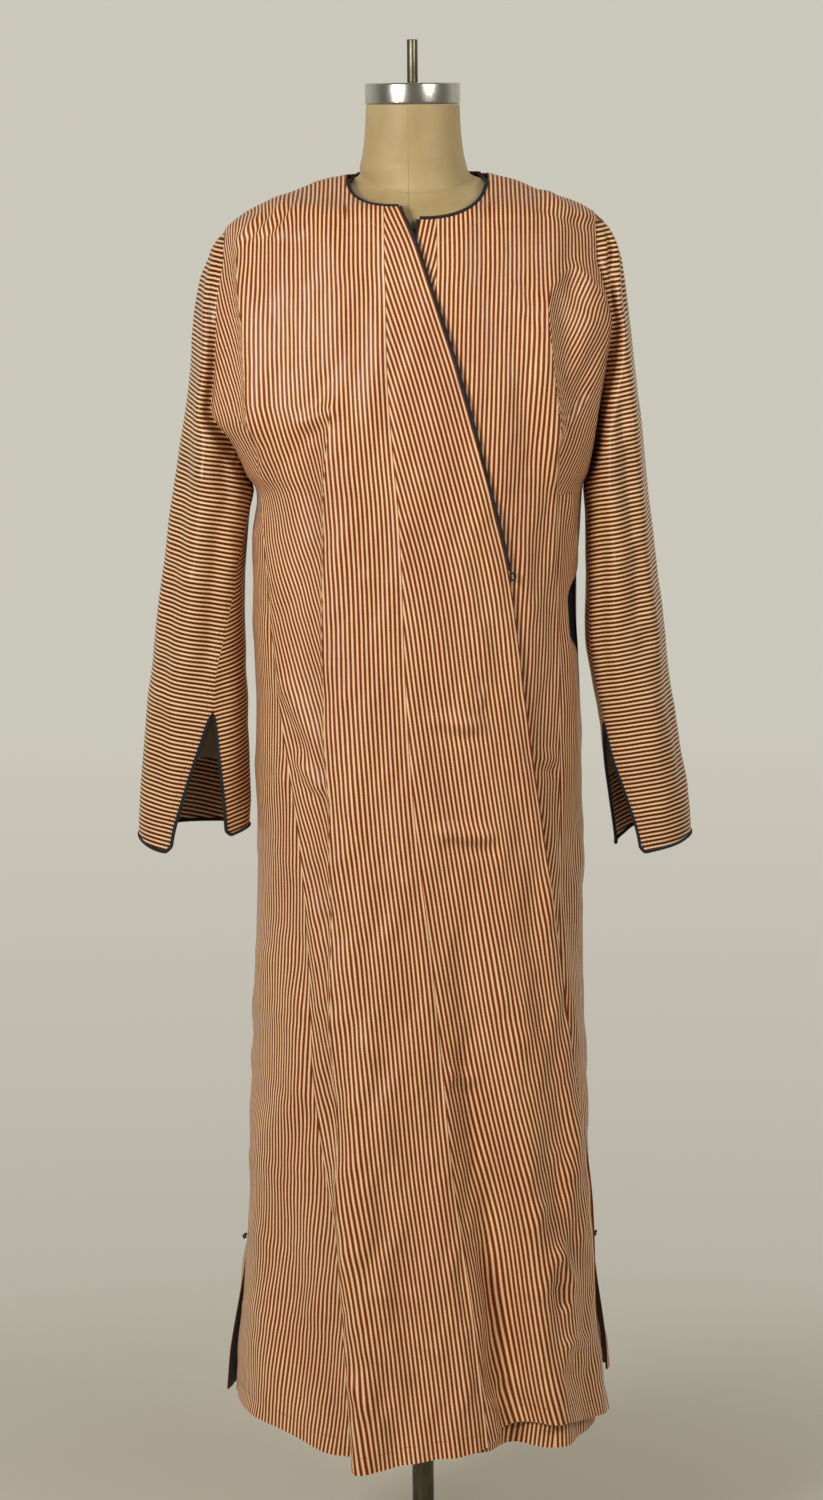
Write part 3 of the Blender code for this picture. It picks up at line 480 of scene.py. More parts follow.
def body_point(turn, z, lift=0.0):
    """Points of the body surface. Turn is 0 at the middle front, a quarter turn at the left side."""
    turn, z = np.broadcast_arrays(np.asarray(turn, float), np.asarray(z, float))
    across, along = np.sin(turn), np.cos(turn)
    is_front = along >= 0
    reach = np.where(is_front, DEPTHS.at("front", z), DEPTHS.at("back", z))
    half = np.where(across >= 0, half_width("left", z, reach), half_width("right", z, reach))
    power = 2 / DEPTHS.at("square", z)
    x = np.sign(across) * half * np.abs(across) ** power
    y = -np.sign(along) * reach * np.abs(along) ** power
    out_x, out_y = x / half**2, y / reach**2
    size = np.hypot(out_x, out_y)
    stand = lift + fold_height(is_front, x, z)
    return np.stack([x + out_x / size * stand, y + out_y / size * stand, z], axis=-1)


def turn_at(x, z, face="front"):
    """The turn at which the body surface is this far from the centre line."""
    x, z = np.broadcast_arrays(np.asarray(x, float), np.asarray(z, float))
    reach = DEPTHS.at(face, z)
    half = np.where(x >= 0, half_width("left", z, reach), half_width("right", z, reach))
    share = np.minimum(1.0, np.abs(x) / half) ** (DEPTHS.at("square", z) / 2)
    turn = np.sign(x) * np.arcsin(share)
    return turn if face == "front" else math.pi - turn


print("left side of the waist:", body_point(math.pi / 2, WAIST_SEAM_Z).round(1))

# %% Lines down the body, and where the cloth ends above
def front_line(name):
    return lambda z: turn_at(FRONT_LINES.at(name, z), z)


def back_line(side):
    """Where the side gore meets the back piece."""
    return lambda z: turn_at(OUT[side] * (BACK_SEAM_X + 6 * smooth_step(900, 300, z)), z, "back")


def outer_line(side, face):
    """The side seam of a front or back piece, which swings out above the waist to the armhole."""
    seam_line = front_line(SIDE_LINE[side]) if face == "front" else back_line(side)

    def line(z):
        armhole_turn = turn_at(OUT[side] * armhole_seam(side, z)[0], z, face)
        swing = smooth_step(WAIST_SEAM_Z + 45, GUSSET_TOP_Z, z)
        return seam_line(z) + (armhole_turn - seam_line(z)) * swing

    return line


def side_line(side, face):
    """The side seam, counted on past half a turn at the wearer's right back."""
    turn = math.pi / 2 if side == "left" else (-math.pi / 2 if face == "front" else 1.5 * math.pi)
    return lambda z: turn + 0 * np.asarray(z, float)


def ridge_height(side, x):
    """Height of the shoulder ridge above a point this far out from the centre line."""
    heights = np.linspace(NECK_Z, RIDGE_END_Z[side], 200)
    return np.interp(np.abs(x), SIDES[side].at("half", heights), heights)


def neck_height(side, x):
    """Height of the front neckline this far out, along a rounded square from corner to ridge."""
    neck = NECK[side]
    share = np.clip((np.abs(x) - neck["inner"]) / (neck["outer"] - neck["inner"]), 0, 1)
    return NECK_Z - (NECK_Z - neck["z"]) * (1 - share ** neck["square"]) ** (1 / neck["square"])


def top_height(x, face):
    """Height at which a cloth column this far out ends: at the neckline or the ridge."""
    tops = []
    for side in ("right", "left"):
        neckline = NECK_Z if face == "back" else neck_height(side, x)
        tops.append(np.where(np.abs(x) > NECK[side]["outer"] - 0.5, ridge_height(side, x), neckline))
    return np.where(np.asarray(x) >= 0, tops[1], tops[0])


print("neckline 50 mm right of the middle:", top_height(np.array(-50.0), "front").round(1))

# %% How far the over front stands off the under one
def over_lift(turn, z):
    """The wrap's thickness, with a flare at the hem's corner and a free edge that stands off."""
    x = body_point(turn, z)[..., 0]
    edge = smooth_step(545, 430, z)
    covering = edge + (1 - edge) * smooth_step(-112, -66, x)
    depth = WRAP_LIFT + SKIRT_LIFT * smooth_step(900, 350, z)
    flare = 7 * smooth_step(285, 215, z) * smooth_step(150, 205, x)
    in_skirt = smooth_step(1180, 850, z) * smooth_step(330, 540, z)
    standing = 11 * in_skirt * smooth_step(45, 5, FRONT_LINES.at("over_edge", z) - x)
    return depth * covering * smooth_step(NECK_Z - 2, 1610, z) + flare + standing


def no_lift(turn, z):
    """Cloth that lies on the body's surface itself."""
    return 0.0 * z


LEAST_ROOM = 0.05
FREE_ROOM = 40.0


def stay_over(points, heights):
    """Soften the hollows of the over front, so that they never reach the cloth below it."""
    x, z = points[..., 0], points[..., 2]
    room = LEAST_ROOM + 0.55 * over_lift(turn_at(x, z), z) + FREE_ROOM * smooth_step(-62, -80, x)
    return np.where(heights < 0, -room * np.tanh(-heights / room), heights)


def stay_under(points, heights, hidden):
    """Soften the ridges of the cloth below, wherever the over front hides it."""
    x, z = points[..., 0], points[..., 2]
    room = LEAST_ROOM + 0.2 * over_lift(turn_at(x, z), z) + FREE_ROOM * (1 - hidden)
    return np.where(heights > 0, room * np.tanh(heights / room), heights)


def vent_splay(turn, z):
    """How far the back flap of a side vent stands outside the front one, most at its edge."""
    from_edge = np.abs(np.abs(np.sin(turn)) - 1)
    return 11 * smooth_step(VENT_TOP_Z, 270, z) * (1 - smooth_step(0, 0.05, from_edge))


print("the wrap stands", over_lift(np.array(0.2), np.array(600.0)).round(1), "mm off at z 600")

# %% [markdown]
# ## From a surface to a piece of cloth
#
# A piece is a grid of points between two lines down the body, finer than any crease in it. It
# could be draped by simulation, but these folds were set by how the robe was wrapped and pinned,
# so placing them one by one is truer. Each row's length along the cloth is added up, which gives
# every point its distance from the piece's own straight grain.

# %% Grids of points
ROWS = {"skirt": 200, "web": 34, "chest": 22, "yoke": 26}


def column_heights(foot, top):
    """Heights of the points of every column, from its foot to its top."""
    levels = [foot, WAIST_SEAM_Z, GUSSET_TOP_Z, SHOULDER_Z, top]
    heights = [foot]
    for part, low, high in zip(ROWS, levels, levels[1:]):
        share = np.linspace(0, 1, ROWS[part] + 1)[1:, None]
        if part == "yoke":
            share = 1 - (1 - share) ** 1.4
        heights.append(low + (high - low) * share + 0 * foot)
    return np.vstack(heights)


def body_grid(near_line, far_line, shares, hem, top, lift, face="front", straight=True):
    """Points of a piece from the hem to the neck or the ridge, between two lines down the body."""
    shares = np.asarray(shares)
    foot_turn = near_line(FOOT_Z) + (far_line(FOOT_Z) - near_line(FOOT_Z)) * shares
    shoulder_turn = near_line(SHOULDER_Z) + (far_line(SHOULDER_Z) - near_line(SHOULDER_Z)) * shares
    x = body_point(shoulder_turn, SHOULDER_Z)[..., 0]
    z = column_heights(hem(foot_turn), top(x, face))
    turn = near_line(z) + (far_line(z) - near_line(z)) * shares
    if straight:
        turn = np.where(z > SHOULDER_Z, turn_at(x + 0 * z, z, face), turn)
    return body_point(turn, z, lift(turn, z))


def shares_at_shoulder(line_a, line_b, distances, face="front"):
    """The shares of the way between two lines at which columns reach these distances out."""
    low, high = line_a(SHOULDER_Z), line_b(SHOULDER_Z)
    return (turn_at(np.asarray(distances, float), SHOULDER_Z, face) - low) / (high - low)


def foot_height(table):
    """The hem height below a turn of the front or back, read by distance from the centre line."""
    return lambda turn: table.at("z", body_point(turn, FOOT_Z)[..., 0])


print("rows in a full column:", sum(ROWS.values()) + 1)

# %% Normals, lengths and evenly spaced shares
def unit(vectors):
    """The same directions, each with a length of 1."""
    return vectors / np.maximum(np.linalg.norm(vectors, axis=-1, keepdims=True), 1e-9)


def grid_normals(points):
    """Unit normals of a grid, pointing away from the centre line."""
    normals = unit(np.cross(np.gradient(points, axis=1), np.gradient(points, axis=0)))
    outward = (normals[..., 0] * points[..., 0] + normals[..., 1] * points[..., 1]).sum()
    return normals if outward > 0 else -normals


def raised(points, heights):
    """The grid with each point moved out from the body by its own height."""
    return points + grid_normals(points) * heights[..., None]


def lengths_along(points, axis):
    """How far each point is from the first one, measured over the cloth."""
    steps = np.linalg.norm(np.diff(points, axis=axis), axis=-1)
    start = np.zeros_like(np.take(steps, [0], axis=axis))
    return np.concatenate([start, np.cumsum(steps, axis=axis)], axis=axis)


def places_along(path, lengths, distances):
    """The points at these distances along a path whose points have these lengths."""
    return np.stack([np.interp(distances, lengths, path[:, i]) for i in range(3)], axis=-1)


def even_shares(count, edge):
    """Shares from 0 to 1, closer together at both ends where edge is above 0."""
    t = np.linspace(0, 1, count + 1)
    return t - edge * np.sin(2 * math.pi * t) / (2 * math.pi)


print("first shares of a piece:", even_shares(20, 0.6)[:3].round(3))

# %% [markdown]
# ## Creases
#
# Worn silk shows three kinds of crease: long folds where cloth is gathered under the wrap, short
# sharp ones where it was folded away, and a gentle unevenness everywhere. The first are lines with
# a height and two flanks, often a steep one and a soft one. The second are short strokes. The last
# is a sum of slow waves that never line up.

# %% Crease tools
def long_fold(points, table):
    """Height of a fold that follows a line down the cloth. Its two flanks have their own widths."""
    x, z = points[..., 0], points[..., 2]
    offset = x - table.at("x", z)
    width = np.where(offset < 0, table.at("left", z), table.at("right", z))
    inside = (z <= table.values[-1, 0]) & (z >= table.values[0, 0])
    return np.where(inside, table.at("height", z) * np.exp(-((offset / width) ** 2)), 0)


def stroke(x, z, start, end, width, full, fading):
    """A crease 1 high from start to end, full for this share either way from its middle."""
    run_x, run_z = end[0] - start[0], end[1] - start[1]
    size = math.hypot(run_x, run_z)
    along = ((x - start[0]) * run_x + (z - start[1]) * run_z) / size**2
    across = ((x - start[0]) * run_z - (z - start[1]) * run_x) / size
    fade = np.exp(-(np.maximum(0, np.abs(along - 0.5) - full) / fading) ** 2)
    return fade * np.exp(-((across / width) ** 2))


STROKE_DEPTH = 1.4


def strokes(points, rows):
    """Height of short creases, each a stroke that fades at its two ends."""
    total = np.zeros(points.shape[:-1])
    for x_a, z_a, x_b, z_b, width, height in rows:
        ends = (x_a, z_a), (x_b, z_b)
        total += height * stroke(points[..., 0], points[..., 2], *ends, width, 0.3, 0.2)
    return STROKE_DEPTH * total


def unevenness(points, seed, height=1.0):
    """Slow waves over the cloth, longer up and down it than across it, and deeper in the skirt."""
    x, z = points[..., 0] + 0.4 * points[..., 1], points[..., 2]
    total = np.zeros(x.shape)
    draws = np.random.default_rng(seed)
    for length_x, length_z, share in ((95, 420, 0.9), (61, 260, 0.7), (38, 190, 0.45), (27, 90, 0.25)):
        phase, tilt = draws.uniform(0, math.tau), draws.uniform(-0.25, 0.25)
        wave = math.tau * ((x + tilt * z) / length_x) + 1.7 * np.sin(math.tau * z / length_z + phase)
        total += share * np.sin(wave + phase * 2)
    return height * total * (1 + 0.9 * smooth_step(1150, 600, z))


print("crease tools ready")

# %% [markdown]
# ## The cloth itself
#
# A sheet of silk has two faces and a thin edge. A Solidify modifier would give them, but it also
# bends the light at every edge, so the shell is built directly: the grid moved out and in by half
# the cloth, with a rim of faces round it that stays sharp. The measured distances ride along as
# attributes, in metres, ready for the stripes.

# %% Put a piece in the scene
def smooth_mesh(name, verts, faces, sharp=None):
    """A mesh from points in millimetres. Edges bent by more than the sharp angle stay crisp."""
    mesh = bpy.data.meshes.new(name)
    mesh.from_pydata((np.asarray(verts) * MM).tolist(), [], faces)
    mesh.shade_smooth()
    if sharp is not None:
        mesh.set_sharp_from_angle(angle=math.radians(sharp))
    return mesh


def place_piece(name, data, finish, replaces=(), place=(0, 0, 0)):
    """One piece of the kaftan or its form, which rides on the root body."""
    data.materials.append(finish)
    made = bpy.data.objects.new(name, data)
    made.location = place
    bpy.context.scene.collection.objects.link(made)
    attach(made, "root")
    if replaces:
        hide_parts(*replaces)
    return made


print("piece tools ready")


def cloth(name, points, across, finish, replaces=(), jumps=(), thickness=WALL):
    """A thin shell on a grid of points. Each jump is (other distance, how far past a fold)."""
    rows, columns = points.shape[:2]
    count = rows * columns
    normals = grid_normals(points) * thickness / 2
    places = np.concatenate([(points + normals).reshape(-1, 3), (points - normals).reshape(-1, 3)])
    index = np.arange(count).reshape(rows, columns)
    quads = np.stack([index[:-1, :-1], index[:-1, 1:], index[1:, 1:], index[1:, :-1]], axis=-1)
    front = quads.reshape(-1, 4)
    facing = np.cross(
        places[front[:, 1]] - places[front[:, 0]], places[front[:, 3]] - places[front[:, 0]]
    )
    if (facing * normals.reshape(-1, 3)[front[:, 0]]).sum() < 0:
        front = front[:, ::-1]
    rim = np.concatenate([index[0], index[1:, -1], index[-1, -2::-1], index[-2:0:-1, 0]])
    after = np.roll(rim, -1)
    sides = np.stack([rim, after, after + count, rim + count], axis=1)
    if front[0].tolist() == quads.reshape(-1, 4)[0].tolist():
        sides = sides[:, ::-1]
    faces = np.concatenate([front, front[:, ::-1] + count, sides])
    mesh = smooth_mesh(name, places, faces.tolist(), 60)
    along = lengths_along(points, 0)
    none = np.zeros_like(across)
    jumps = list(jumps) + [(none, none - 1)] * (2 - len(jumps))
    cut = np.stack([across, along, jumps[0][0]], axis=-1).reshape(-1, 3) * MM
    fold = np.stack([jumps[1][0], jumps[0][1], jumps[1][1]], axis=-1).reshape(-1, 3) * MM
    for title, values in (("cut", cut), ("fold", fold)):
        layer = mesh.attributes.new(title, "FLOAT_VECTOR", "POINT")
        layer.data.foreach_set("vector", np.concatenate([values, values]).astype(np.float32).ravel())
    place_piece(name, mesh, finish, replaces)
    print(f"{name}: {rows} x {columns} points, {2 * len(faces)} triangles")


def body_cloth(name, points, across, node, jumps=()):
    cloth(name, points, across, body_silk, [node], jumps)


print("cloth is", WALL, "mm thick")

# %% The grain of a piece, and calm at its seams
def square_to(line, row):
    """How much shorter a distance square to a line is than one along the row, at each row."""
    size = np.linalg.norm(np.cross(unit(np.gradient(line, axis=0)), unit(row)), axis=1)
    smooth = np.convolve(np.pad(size, 8, mode="edge"), np.ones(17) / 17, mode="valid")
    return smooth[:, None]


def calm_edges(points, first=8.0, last=10.0, top=18.0):
    """Nothing at a piece's long edges and its top and 1 a little way in: creases leave seams shut."""
    lengths, heights = lengths_along(points, 1), lengths_along(points, 0)
    sides = smooth_step(0, first, lengths) * smooth_step(0, last, lengths[:, [-1]] - lengths)
    return sides * smooth_step(0, top, heights[[-1]] - heights)


def straight_grain(points, column):
    """Distance across the stripes from one column, along each row of the cloth."""
    lengths = lengths_along(points, 1)
    row = points[:, column + 3] - points[:, max(column - 3, 0)]
    across = (lengths - lengths[:, [column]]) * square_to(points[:, column], row)
    shoulder = ROWS["skirt"] + ROWS["web"] + ROWS["chest"]
    across[shoulder:] = across[shoulder]
    return across


def edge_grain(points):
    """Distance across the stripes from the free edge, along each row of a slanting gore."""
    lengths = lengths_along(points, 1)
    return (lengths - lengths[:, [-1]]) * square_to(points[:, -4], points[:, -1] - points[:, 0])


print("grain tools ready")

# %% [markdown]
# ## The straight right front, on top
#
# The over front is one straight strip from hem to shoulder. Its stripes run beside the centre
# seam. Two folds break them: a long one from the breast to the hem, with a steep flank on the
# wearer's right, which takes up more and more cloth on its way down, and a ridge at the edge of
# the chest, beyond which the cloth is dragged slanting towards the underarm.

# %% Long folds of the over front
OVER_FOLD = Table("z x height left right", [
    (1432, -88, 0, 14, 20), (1402, -92, 3, 7, 20), (1334, -97, 7, 5, 24), (1245, -100, 8, 4, 26),
    (1077, -101, 9, 4, 26), (940, -95, 9, 4, 28), (725, -95, 8, 4, 28), (509, -89, 8, 4, 28),
    (388, -88, 8, 4, 26), (254, -80, 7, 4, 24), (190, -77, 6, 4, 24),
])
OVER_CHEST_RIDGE = Table("z x height left right", [
    (1596, -190, 0, 10, 18), (1579, -195, 2, 8, 18), (1551, -194, 5, 6, 20), (1485, -188, 8, 5, 22),
    (1456, -187, 8, 5, 22), (1374, -182, 7, 5, 20), (1318, -179, 4, 6, 16), (1296, -177, 0, 8, 14),
])
OVER_WEB_TROUGH = Table("z x height left right", [
    (1590, -204, 0, 10, 10), (1551, -206, -3, 10, 9), (1485, -203, -4, 14, 9),
    (1420, -197, -2, 12, 9), (1370, -190, 0, 9, 8),
])
SWALLOWED = Table("z width", [
    (1402, 0), (1300, 18), (1200, 46), (1100, 76), (1000, 102), (900, 122), (800, 136),
    (640, 150), (538, 162), (400, 174), (190, 188),
])
# Each stroke: x and z of one end, x and z of the other, width, height. Below 0 is a hollow.
OVER_STROKES = [
    (-132, 1380, -84, 1405, 8, 3.5), (-120, 1366, -92, 1384, 6, -2.0), (-138, 1010, -100, 972, 7, 3.2),
    (-140, 990, -112, 966, 6, -2.2), (-176, 1134, -112, 1022, 11, 2.6),
    (-168, 1094, -120, 1000, 9, -1.8), (-144, 1623, -173, 1588, 5, 2.4),
    (-124, 1625, -156, 1586, 5, 2.0), (-134, 1622, -165, 1588, 4, -1.8),
    (-172, 1611, -198, 1574, 5, 2.4), (-160, 1616, -188, 1580, 4, -1.6), (-96, 1634, -128, 1590, 7, 1.4),
    (-84, 308, -44, 244, 7, 4.0), (-70, 330, -30, 276, 8, -2.5), (-58, 344, -6, 300, 9, 2.5),
    (-104, 400, -78, 462, 8, 3.0), (-112, 356, -86, 384, 6, -3.0), (-20, 352, 24, 330, 7, 2.2),
    (-64, 404, -2, 396, 8, 2.0), (-176, 985, -150, 990, 5, 2.4), (-158, 990, -104, 973, 5, 1.8),
    (-60, 1216, -24, 1204, 10, 1.6), (-70, 690, -30, 672, 12, 1.8), (-50, 880, -6, 868, 12, 1.5),
]
print("strokes on the over front:", len(OVER_STROKES))

# %% [markdown]
# ## Where the fronts are dragged
#
# Near each armhole the cloth does two things. Below a small arch its stripes leave the upright and
# slant to the underarm, and the cloth itself sinks into a valley along the armhole seam. Both
# fronts do this in their own measure, so the tools for it are shared.

# %% Columns, slanting stripes and the armhole valley
def panel_distances(side, inner):
    """Where the columns of a front cross the shoulder: close together where the neckline climbs."""
    corner = NECK[side]["outer"]
    neckline = corner - (corner - inner) * (1 - np.linspace(0, 1, 17)) ** 1.5
    ridge = np.linspace(corner, RIDGE_END_X[side], 41)[1:]
    return OUT[side] * np.concatenate([neckline, ridge])


ARCHES = {
    "right": Table("out z", [(170, 1545), (187, 1566), (197, 1579), (210, 1583), (224, 1578)]),
    "left": Table("out z", [
        (148, 1532), (162, 1546), (176, 1553), (193, 1552), (207, 1546), (222, 1536),
    ]),
}
WEB_TILT = {"right": math.radians(23), "left": math.radians(26)}


def web_stripes(side, points, across, ridge):
    """Stripes past a chest ridge: upright above an arch, then dragged towards the underarm."""
    out, z = np.abs(points[..., 0]), points[..., 2]
    below = np.maximum(0, ARCHES[side].at("z", out) - z)
    slanting = across + below**2 / (below + 20) * math.tan(WEB_TILT[side])
    past_ridge = out - np.abs(ridge.at("x", z))
    return slanting, np.where((z < ridge.values[-1, 0]) & (z > WAIST_SEAM_Z), past_ridge, -1.0)


VALLEYS = {
    "right": Table("z depth", [(1570, 0), (1500, 3), (1440, 12), (1380, 18), (1320, 14), (1300, 0)]),
    "left": Table("z depth", [(1560, 0), (1520, 9), (1480, 20), (1440, 26), (1320, 24), (1300, 0)]),
}


def armhole_valley(side, z, distance, width=9):
    """How far the cloth sinks near the armhole seam, by distance from the seam."""
    depth = np.where((z > WAIST_SEAM_Z) & (z < 1570), VALLEYS[side].at("depth", z), 0)
    return depth * (1 - smooth_step(0, width, distance))


def web_width(side, face, z):
    """Width of the underarm web between the front or the back and the armhole."""
    z = np.clip(z, WAIST_SEAM_Z, GUSSET_TOP_Z)
    inner = body_point(outer_line(side, face)(z), z)
    outer = body_point(turn_at(OUT[side] * armhole_seam(side, z)[0], z, face), z)
    return np.linalg.norm(outer - inner, axis=-1)


def sink_beside_armhole(side, points):
    """Push a front piece back where it nears the armhole."""
    lengths = lengths_along(points, 1)
    distance = lengths[:, [-1]] - lengths + web_width(side, "front", points[:, [-1], 2])
    sunk = points.copy()
    sunk[..., 1] += armhole_valley(side, points[..., 2], distance)
    return sunk


print("valley beside the left armhole:", VALLEYS["left"].at("depth", 1400.0).round(1), "mm deep")

# %% Cut and crease the over front
over_hem, under_hem = foot_height(OVER_HEM), foot_height(UNDER_HEM)
over_inner, over_outer = front_line("over_seam"), outer_line("right", "front")
shares = shares_at_shoulder(over_inner, over_outer, panel_distances("right", 32))
over_base = body_grid(over_inner, over_outer, shares, over_hem, top_height, over_lift)
over_heights = (
    long_fold(over_base, OVER_FOLD) + long_fold(over_base, OVER_CHEST_RIDGE)
    + long_fold(over_base, OVER_WEB_TROUGH) + strokes(over_base, OVER_STROKES)
    + unevenness(over_base, 3, 1.5)
)
over_heights = stay_over(over_base, over_heights) * calm_edges(over_base)
over_points = sink_beside_armhole("right", raised(over_base, over_heights))
over_across = straight_grain(over_base, 0)
past_fold = np.where(
    over_base[..., 2] < OVER_FOLD.values[-1, 0] - 30,
    OVER_FOLD.at("x", over_base[..., 2]) - over_base[..., 0], -1.0,
)
past_across = over_across + SWALLOWED.at("width", over_base[..., 2])
over_web = web_stripes("right", over_base, over_across, OVER_CHEST_RIDGE)
body_cloth(
    "over_front", over_points, over_across, "front_panel_right", [(past_across, past_fold), over_web]
)

# %% [markdown]
# ## The gore on top
#
# The slanting gore fills in from the centre seam to the free, corded edge. It was cut with its
# grain along that edge, so its stripes meet the centre seam in a herringbone. Low down a deep
# trough runs beside the seam, then a ridge from which the cloth turns back to its edge.

# %% Cut and crease the over gore
GORE_RIDGE = Table("z x height left right", [
    (1010, 100, 0, 26, 18), (860, 105, 6, 26, 18), (600, 118, 11, 20, 18), (480, 125, 13, 18, 16),
    (330, 138, 13, 18, 16), (200, 152, 8, 20, 18),
])
GORE_TROUGH = Table("z x height left right", [
    (920, 36, 0, 14, 24), (760, 48, -8, 13, 24), (620, 62, -15, 15, 24), (480, 80, -19, 18, 24),
    (360, 92, -18, 18, 22), (254, 102, -11, 18, 22), (200, 106, -7, 18, 22),
])
GORE_STROKES = [
    (20, 929, 84, 923, 9, 5.5), (26, 912, 80, 906, 8, -3.0), (14, 1055, 72, 1046, 8, 3.6),
    (20, 1040, 66, 1032, 7, -2.2), (76, 1092, 68, 1068, 4, 2.4), (30, 658, 62, 640, 7, 3.6),
    (34, 636, 58, 628, 6, -2.5), (-26, 1424, 36, 1442, 2.0, 0.5), (44, 1256, 60, 1180, 7, 1.8),
    (66, 1170, 80, 1098, 8, 1.8), (6, 1330, 30, 1290, 10, 1.4), (134, 388, 154, 444, 7, 4.0),
    (153, 442, 178, 388, 7, 3.6), (152, 400, 160, 372, 8, -4.0), (30, 382, 52, 370, 5, 2.6),
    (160, 330, 190, 322, 7, 3.2), (158, 300, 186, 280, 8, -2.6), (120, 470, 142, 500, 8, 2.2),
    (90, 300, 128, 268, 9, 2.2), (66, 280, 90, 250, 8, 2.0), (60, 1130, 88, 1040, 9, -1.6),
    (84, 1380, 92, 1290, 7, 1.4), (10, 1500, 22, 1440, 8, 1.2), (150, 560, 172, 520, 9, 2.4),
    (104, 800, 132, 760, 10, 1.8), (94, 720, 122, 700, 9, -1.6),
]


def gore_top(side):
    corner = NECK[side]["inner"]

    def top(x, face):
        return neck_height(side, np.maximum(np.abs(x), corner) * OUT[side])

    return top


gore_inner, gore_edge = front_line("over_seam"), front_line("over_edge")
gore_base = body_grid(
    gore_inner, gore_edge, even_shares(36, 0.3), over_hem, gore_top("right"), over_lift, straight=False
)
gore_heights = long_fold(gore_base, GORE_RIDGE) + strokes(gore_base, GORE_STROKES)
gore_heights = stay_over(gore_base, gore_heights + unevenness(gore_base, 8, 1.4))
gore_heights = (gore_heights + long_fold(gore_base, GORE_TROUGH)) * calm_edges(gore_base, 8, 1)
gore_points = raised(gore_base, gore_heights)
body_cloth("over_gore", gore_points, edge_grain(gore_base), "front_gore_right")

# %% [markdown]
# ## The left front, underneath
#
# The under front has the same two pieces. Most of the gore is hidden by the wrap, and only its
# corner shows in the neck opening, with stripes that lean the other way. At the chest a ridge and
# a slanting web match those on the other side, under a small arch of dragged cloth.

# %% Cut and crease the under front
UNDER_CHEST_RIDGE = Table("z x height left right", [
    (1556, 150, 0, 16, 8), (1526, 148, 3, 18, 6), (1508, 145, 6, 20, 5), (1392, 155, 8, 22, 5),
    (1309, 159, 7, 20, 5), (1225, 164, 5, 16, 6), (1134, 175, 2, 12, 7), (1100, 178, 0, 10, 8),
])
UNDER_WEB_TROUGH = Table("z x height left right", [
    (1556, 168, 0, 12, 14), (1508, 166, -4, 10, 16), (1440, 170, -4, 10, 16), (1390, 170, -2, 9, 12),
    (1350, 168, 0, 8, 10),
])
UNDER_LEAN = Table("z width", [(1300, 0), (1100, 6), (900, 22), (700, 42), (500, 58), (180, 78)])
UNDER_STROKES = [
    (110, 1538, 120, 1500, 7, 2.4), (126, 1530, 134, 1490, 6, -1.8), (140, 1634, 214, 1596, 7, 2.2),
    (130, 1622, 200, 1592, 6, -1.8), (152, 1528, 176, 1556, 5, 2.4), (176, 1556, 214, 1512, 5, 2.8),
    (168, 1540, 200, 1500, 7, -2.0), (196, 1500, 170, 1420, 9, 1.8), (206, 1470, 176, 1380, 8, -1.6),
    (60, 1480, 70, 1400, 9, 1.4), (96, 1460, 104, 1360, 9, 1.5), (120, 1420, 128, 1320, 9, -1.4),
    (118, 1250, 130, 1160, 10, 1.6), (126, 1010, 166, 1000, 7, 2.2), (130, 992, 164, 984, 6, -1.8),
    (134, 860, 150, 780, 9, 1.6), (92, 1600, 100, 1560, 8, 1.2), (48, 1590, 54, 1540, 7, 1.0),
]
under_inner, under_outer = front_line("under_seam"), outer_line("left", "front")
shares = shares_at_shoulder(under_inner, under_outer, panel_distances("left", 25))
under_base = body_grid(under_inner, under_outer, shares, under_hem, top_height, no_lift)
under_heights = (
    long_fold(under_base, UNDER_CHEST_RIDGE) + long_fold(under_base, UNDER_WEB_TROUGH)
    + strokes(under_base, UNDER_STROKES)
)
hidden = smooth_step(20, 0, under_base[..., 0] - FRONT_LINES.at("over_edge", under_base[..., 2]))
under_heights = under_heights * (1 - hidden) + unevenness(under_base, 5, 1.3) * (1 - 0.7 * hidden)
under_heights = stay_under(under_base, under_heights, hidden) + 1.1 * long_fold(under_base, GORE_TROUGH)
under_points = raised(under_base, under_heights * calm_edges(under_base))
under_points = sink_beside_armhole("left", under_points)
under_across = straight_grain(under_base, 0) + UNDER_LEAN.at("width", under_base[..., 2])
under_web = web_stripes("left", under_base, under_across, UNDER_CHEST_RIDGE)
body_cloth("under_front", under_points, under_across, "front_panel_left", [under_web])

# %% Cut the under gore
under_gore_base = body_grid(
    front_line("under_seam"), front_line("under_edge"), even_shares(20, 0.3),
    under_hem, gore_top("left"), no_lift, straight=False,
)
body_cloth("under_gore", under_gore_base, edge_grain(under_gore_base), "front_gore_left")

# %% [markdown]
# ## The back
#
# The back is a single straight width from shoulder to hem, not seen in the picture. It hangs in
# soft upright folds from the shoulder blades, with a few drag lines under the neck, like the front.

# %% Cut and crease the back
BACK_STROKES = [
    (-60, 1600, -120, 1520, 12, 2.2), (60, 1600, 124, 1516, 12, 2.2), (-30, 1580, -70, 1480, 12, -1.6),
    (34, 1584, 80, 1470, 12, -1.6), (-150, 1480, -120, 1330, 10, 2.4), (152, 1470, 118, 1320, 10, 2.4),
    (-96, 1240, -30, 1228, 9, 2.6), (20, 1210, 96, 1222, 9, 2.2), (-120, 1010, -70, 1000, 9, 2.4),
    (70, 980, 130, 992, 9, 2.2), (-60, 420, -30, 330, 10, 2.6), (40, 400, 66, 310, 10, 2.4),
    (-130, 330, -100, 270, 8, 2.6), (110, 350, 140, 290, 8, 2.6), (0, 620, 18, 520, 11, 1.8),
]
back_left_line, back_right_line = outer_line("left", "back"), outer_line("right", "back")
back_columns = np.concatenate([
    np.linspace(204, 84, 30), np.linspace(80, -71, 36), -np.linspace(75, 213, 33),
])
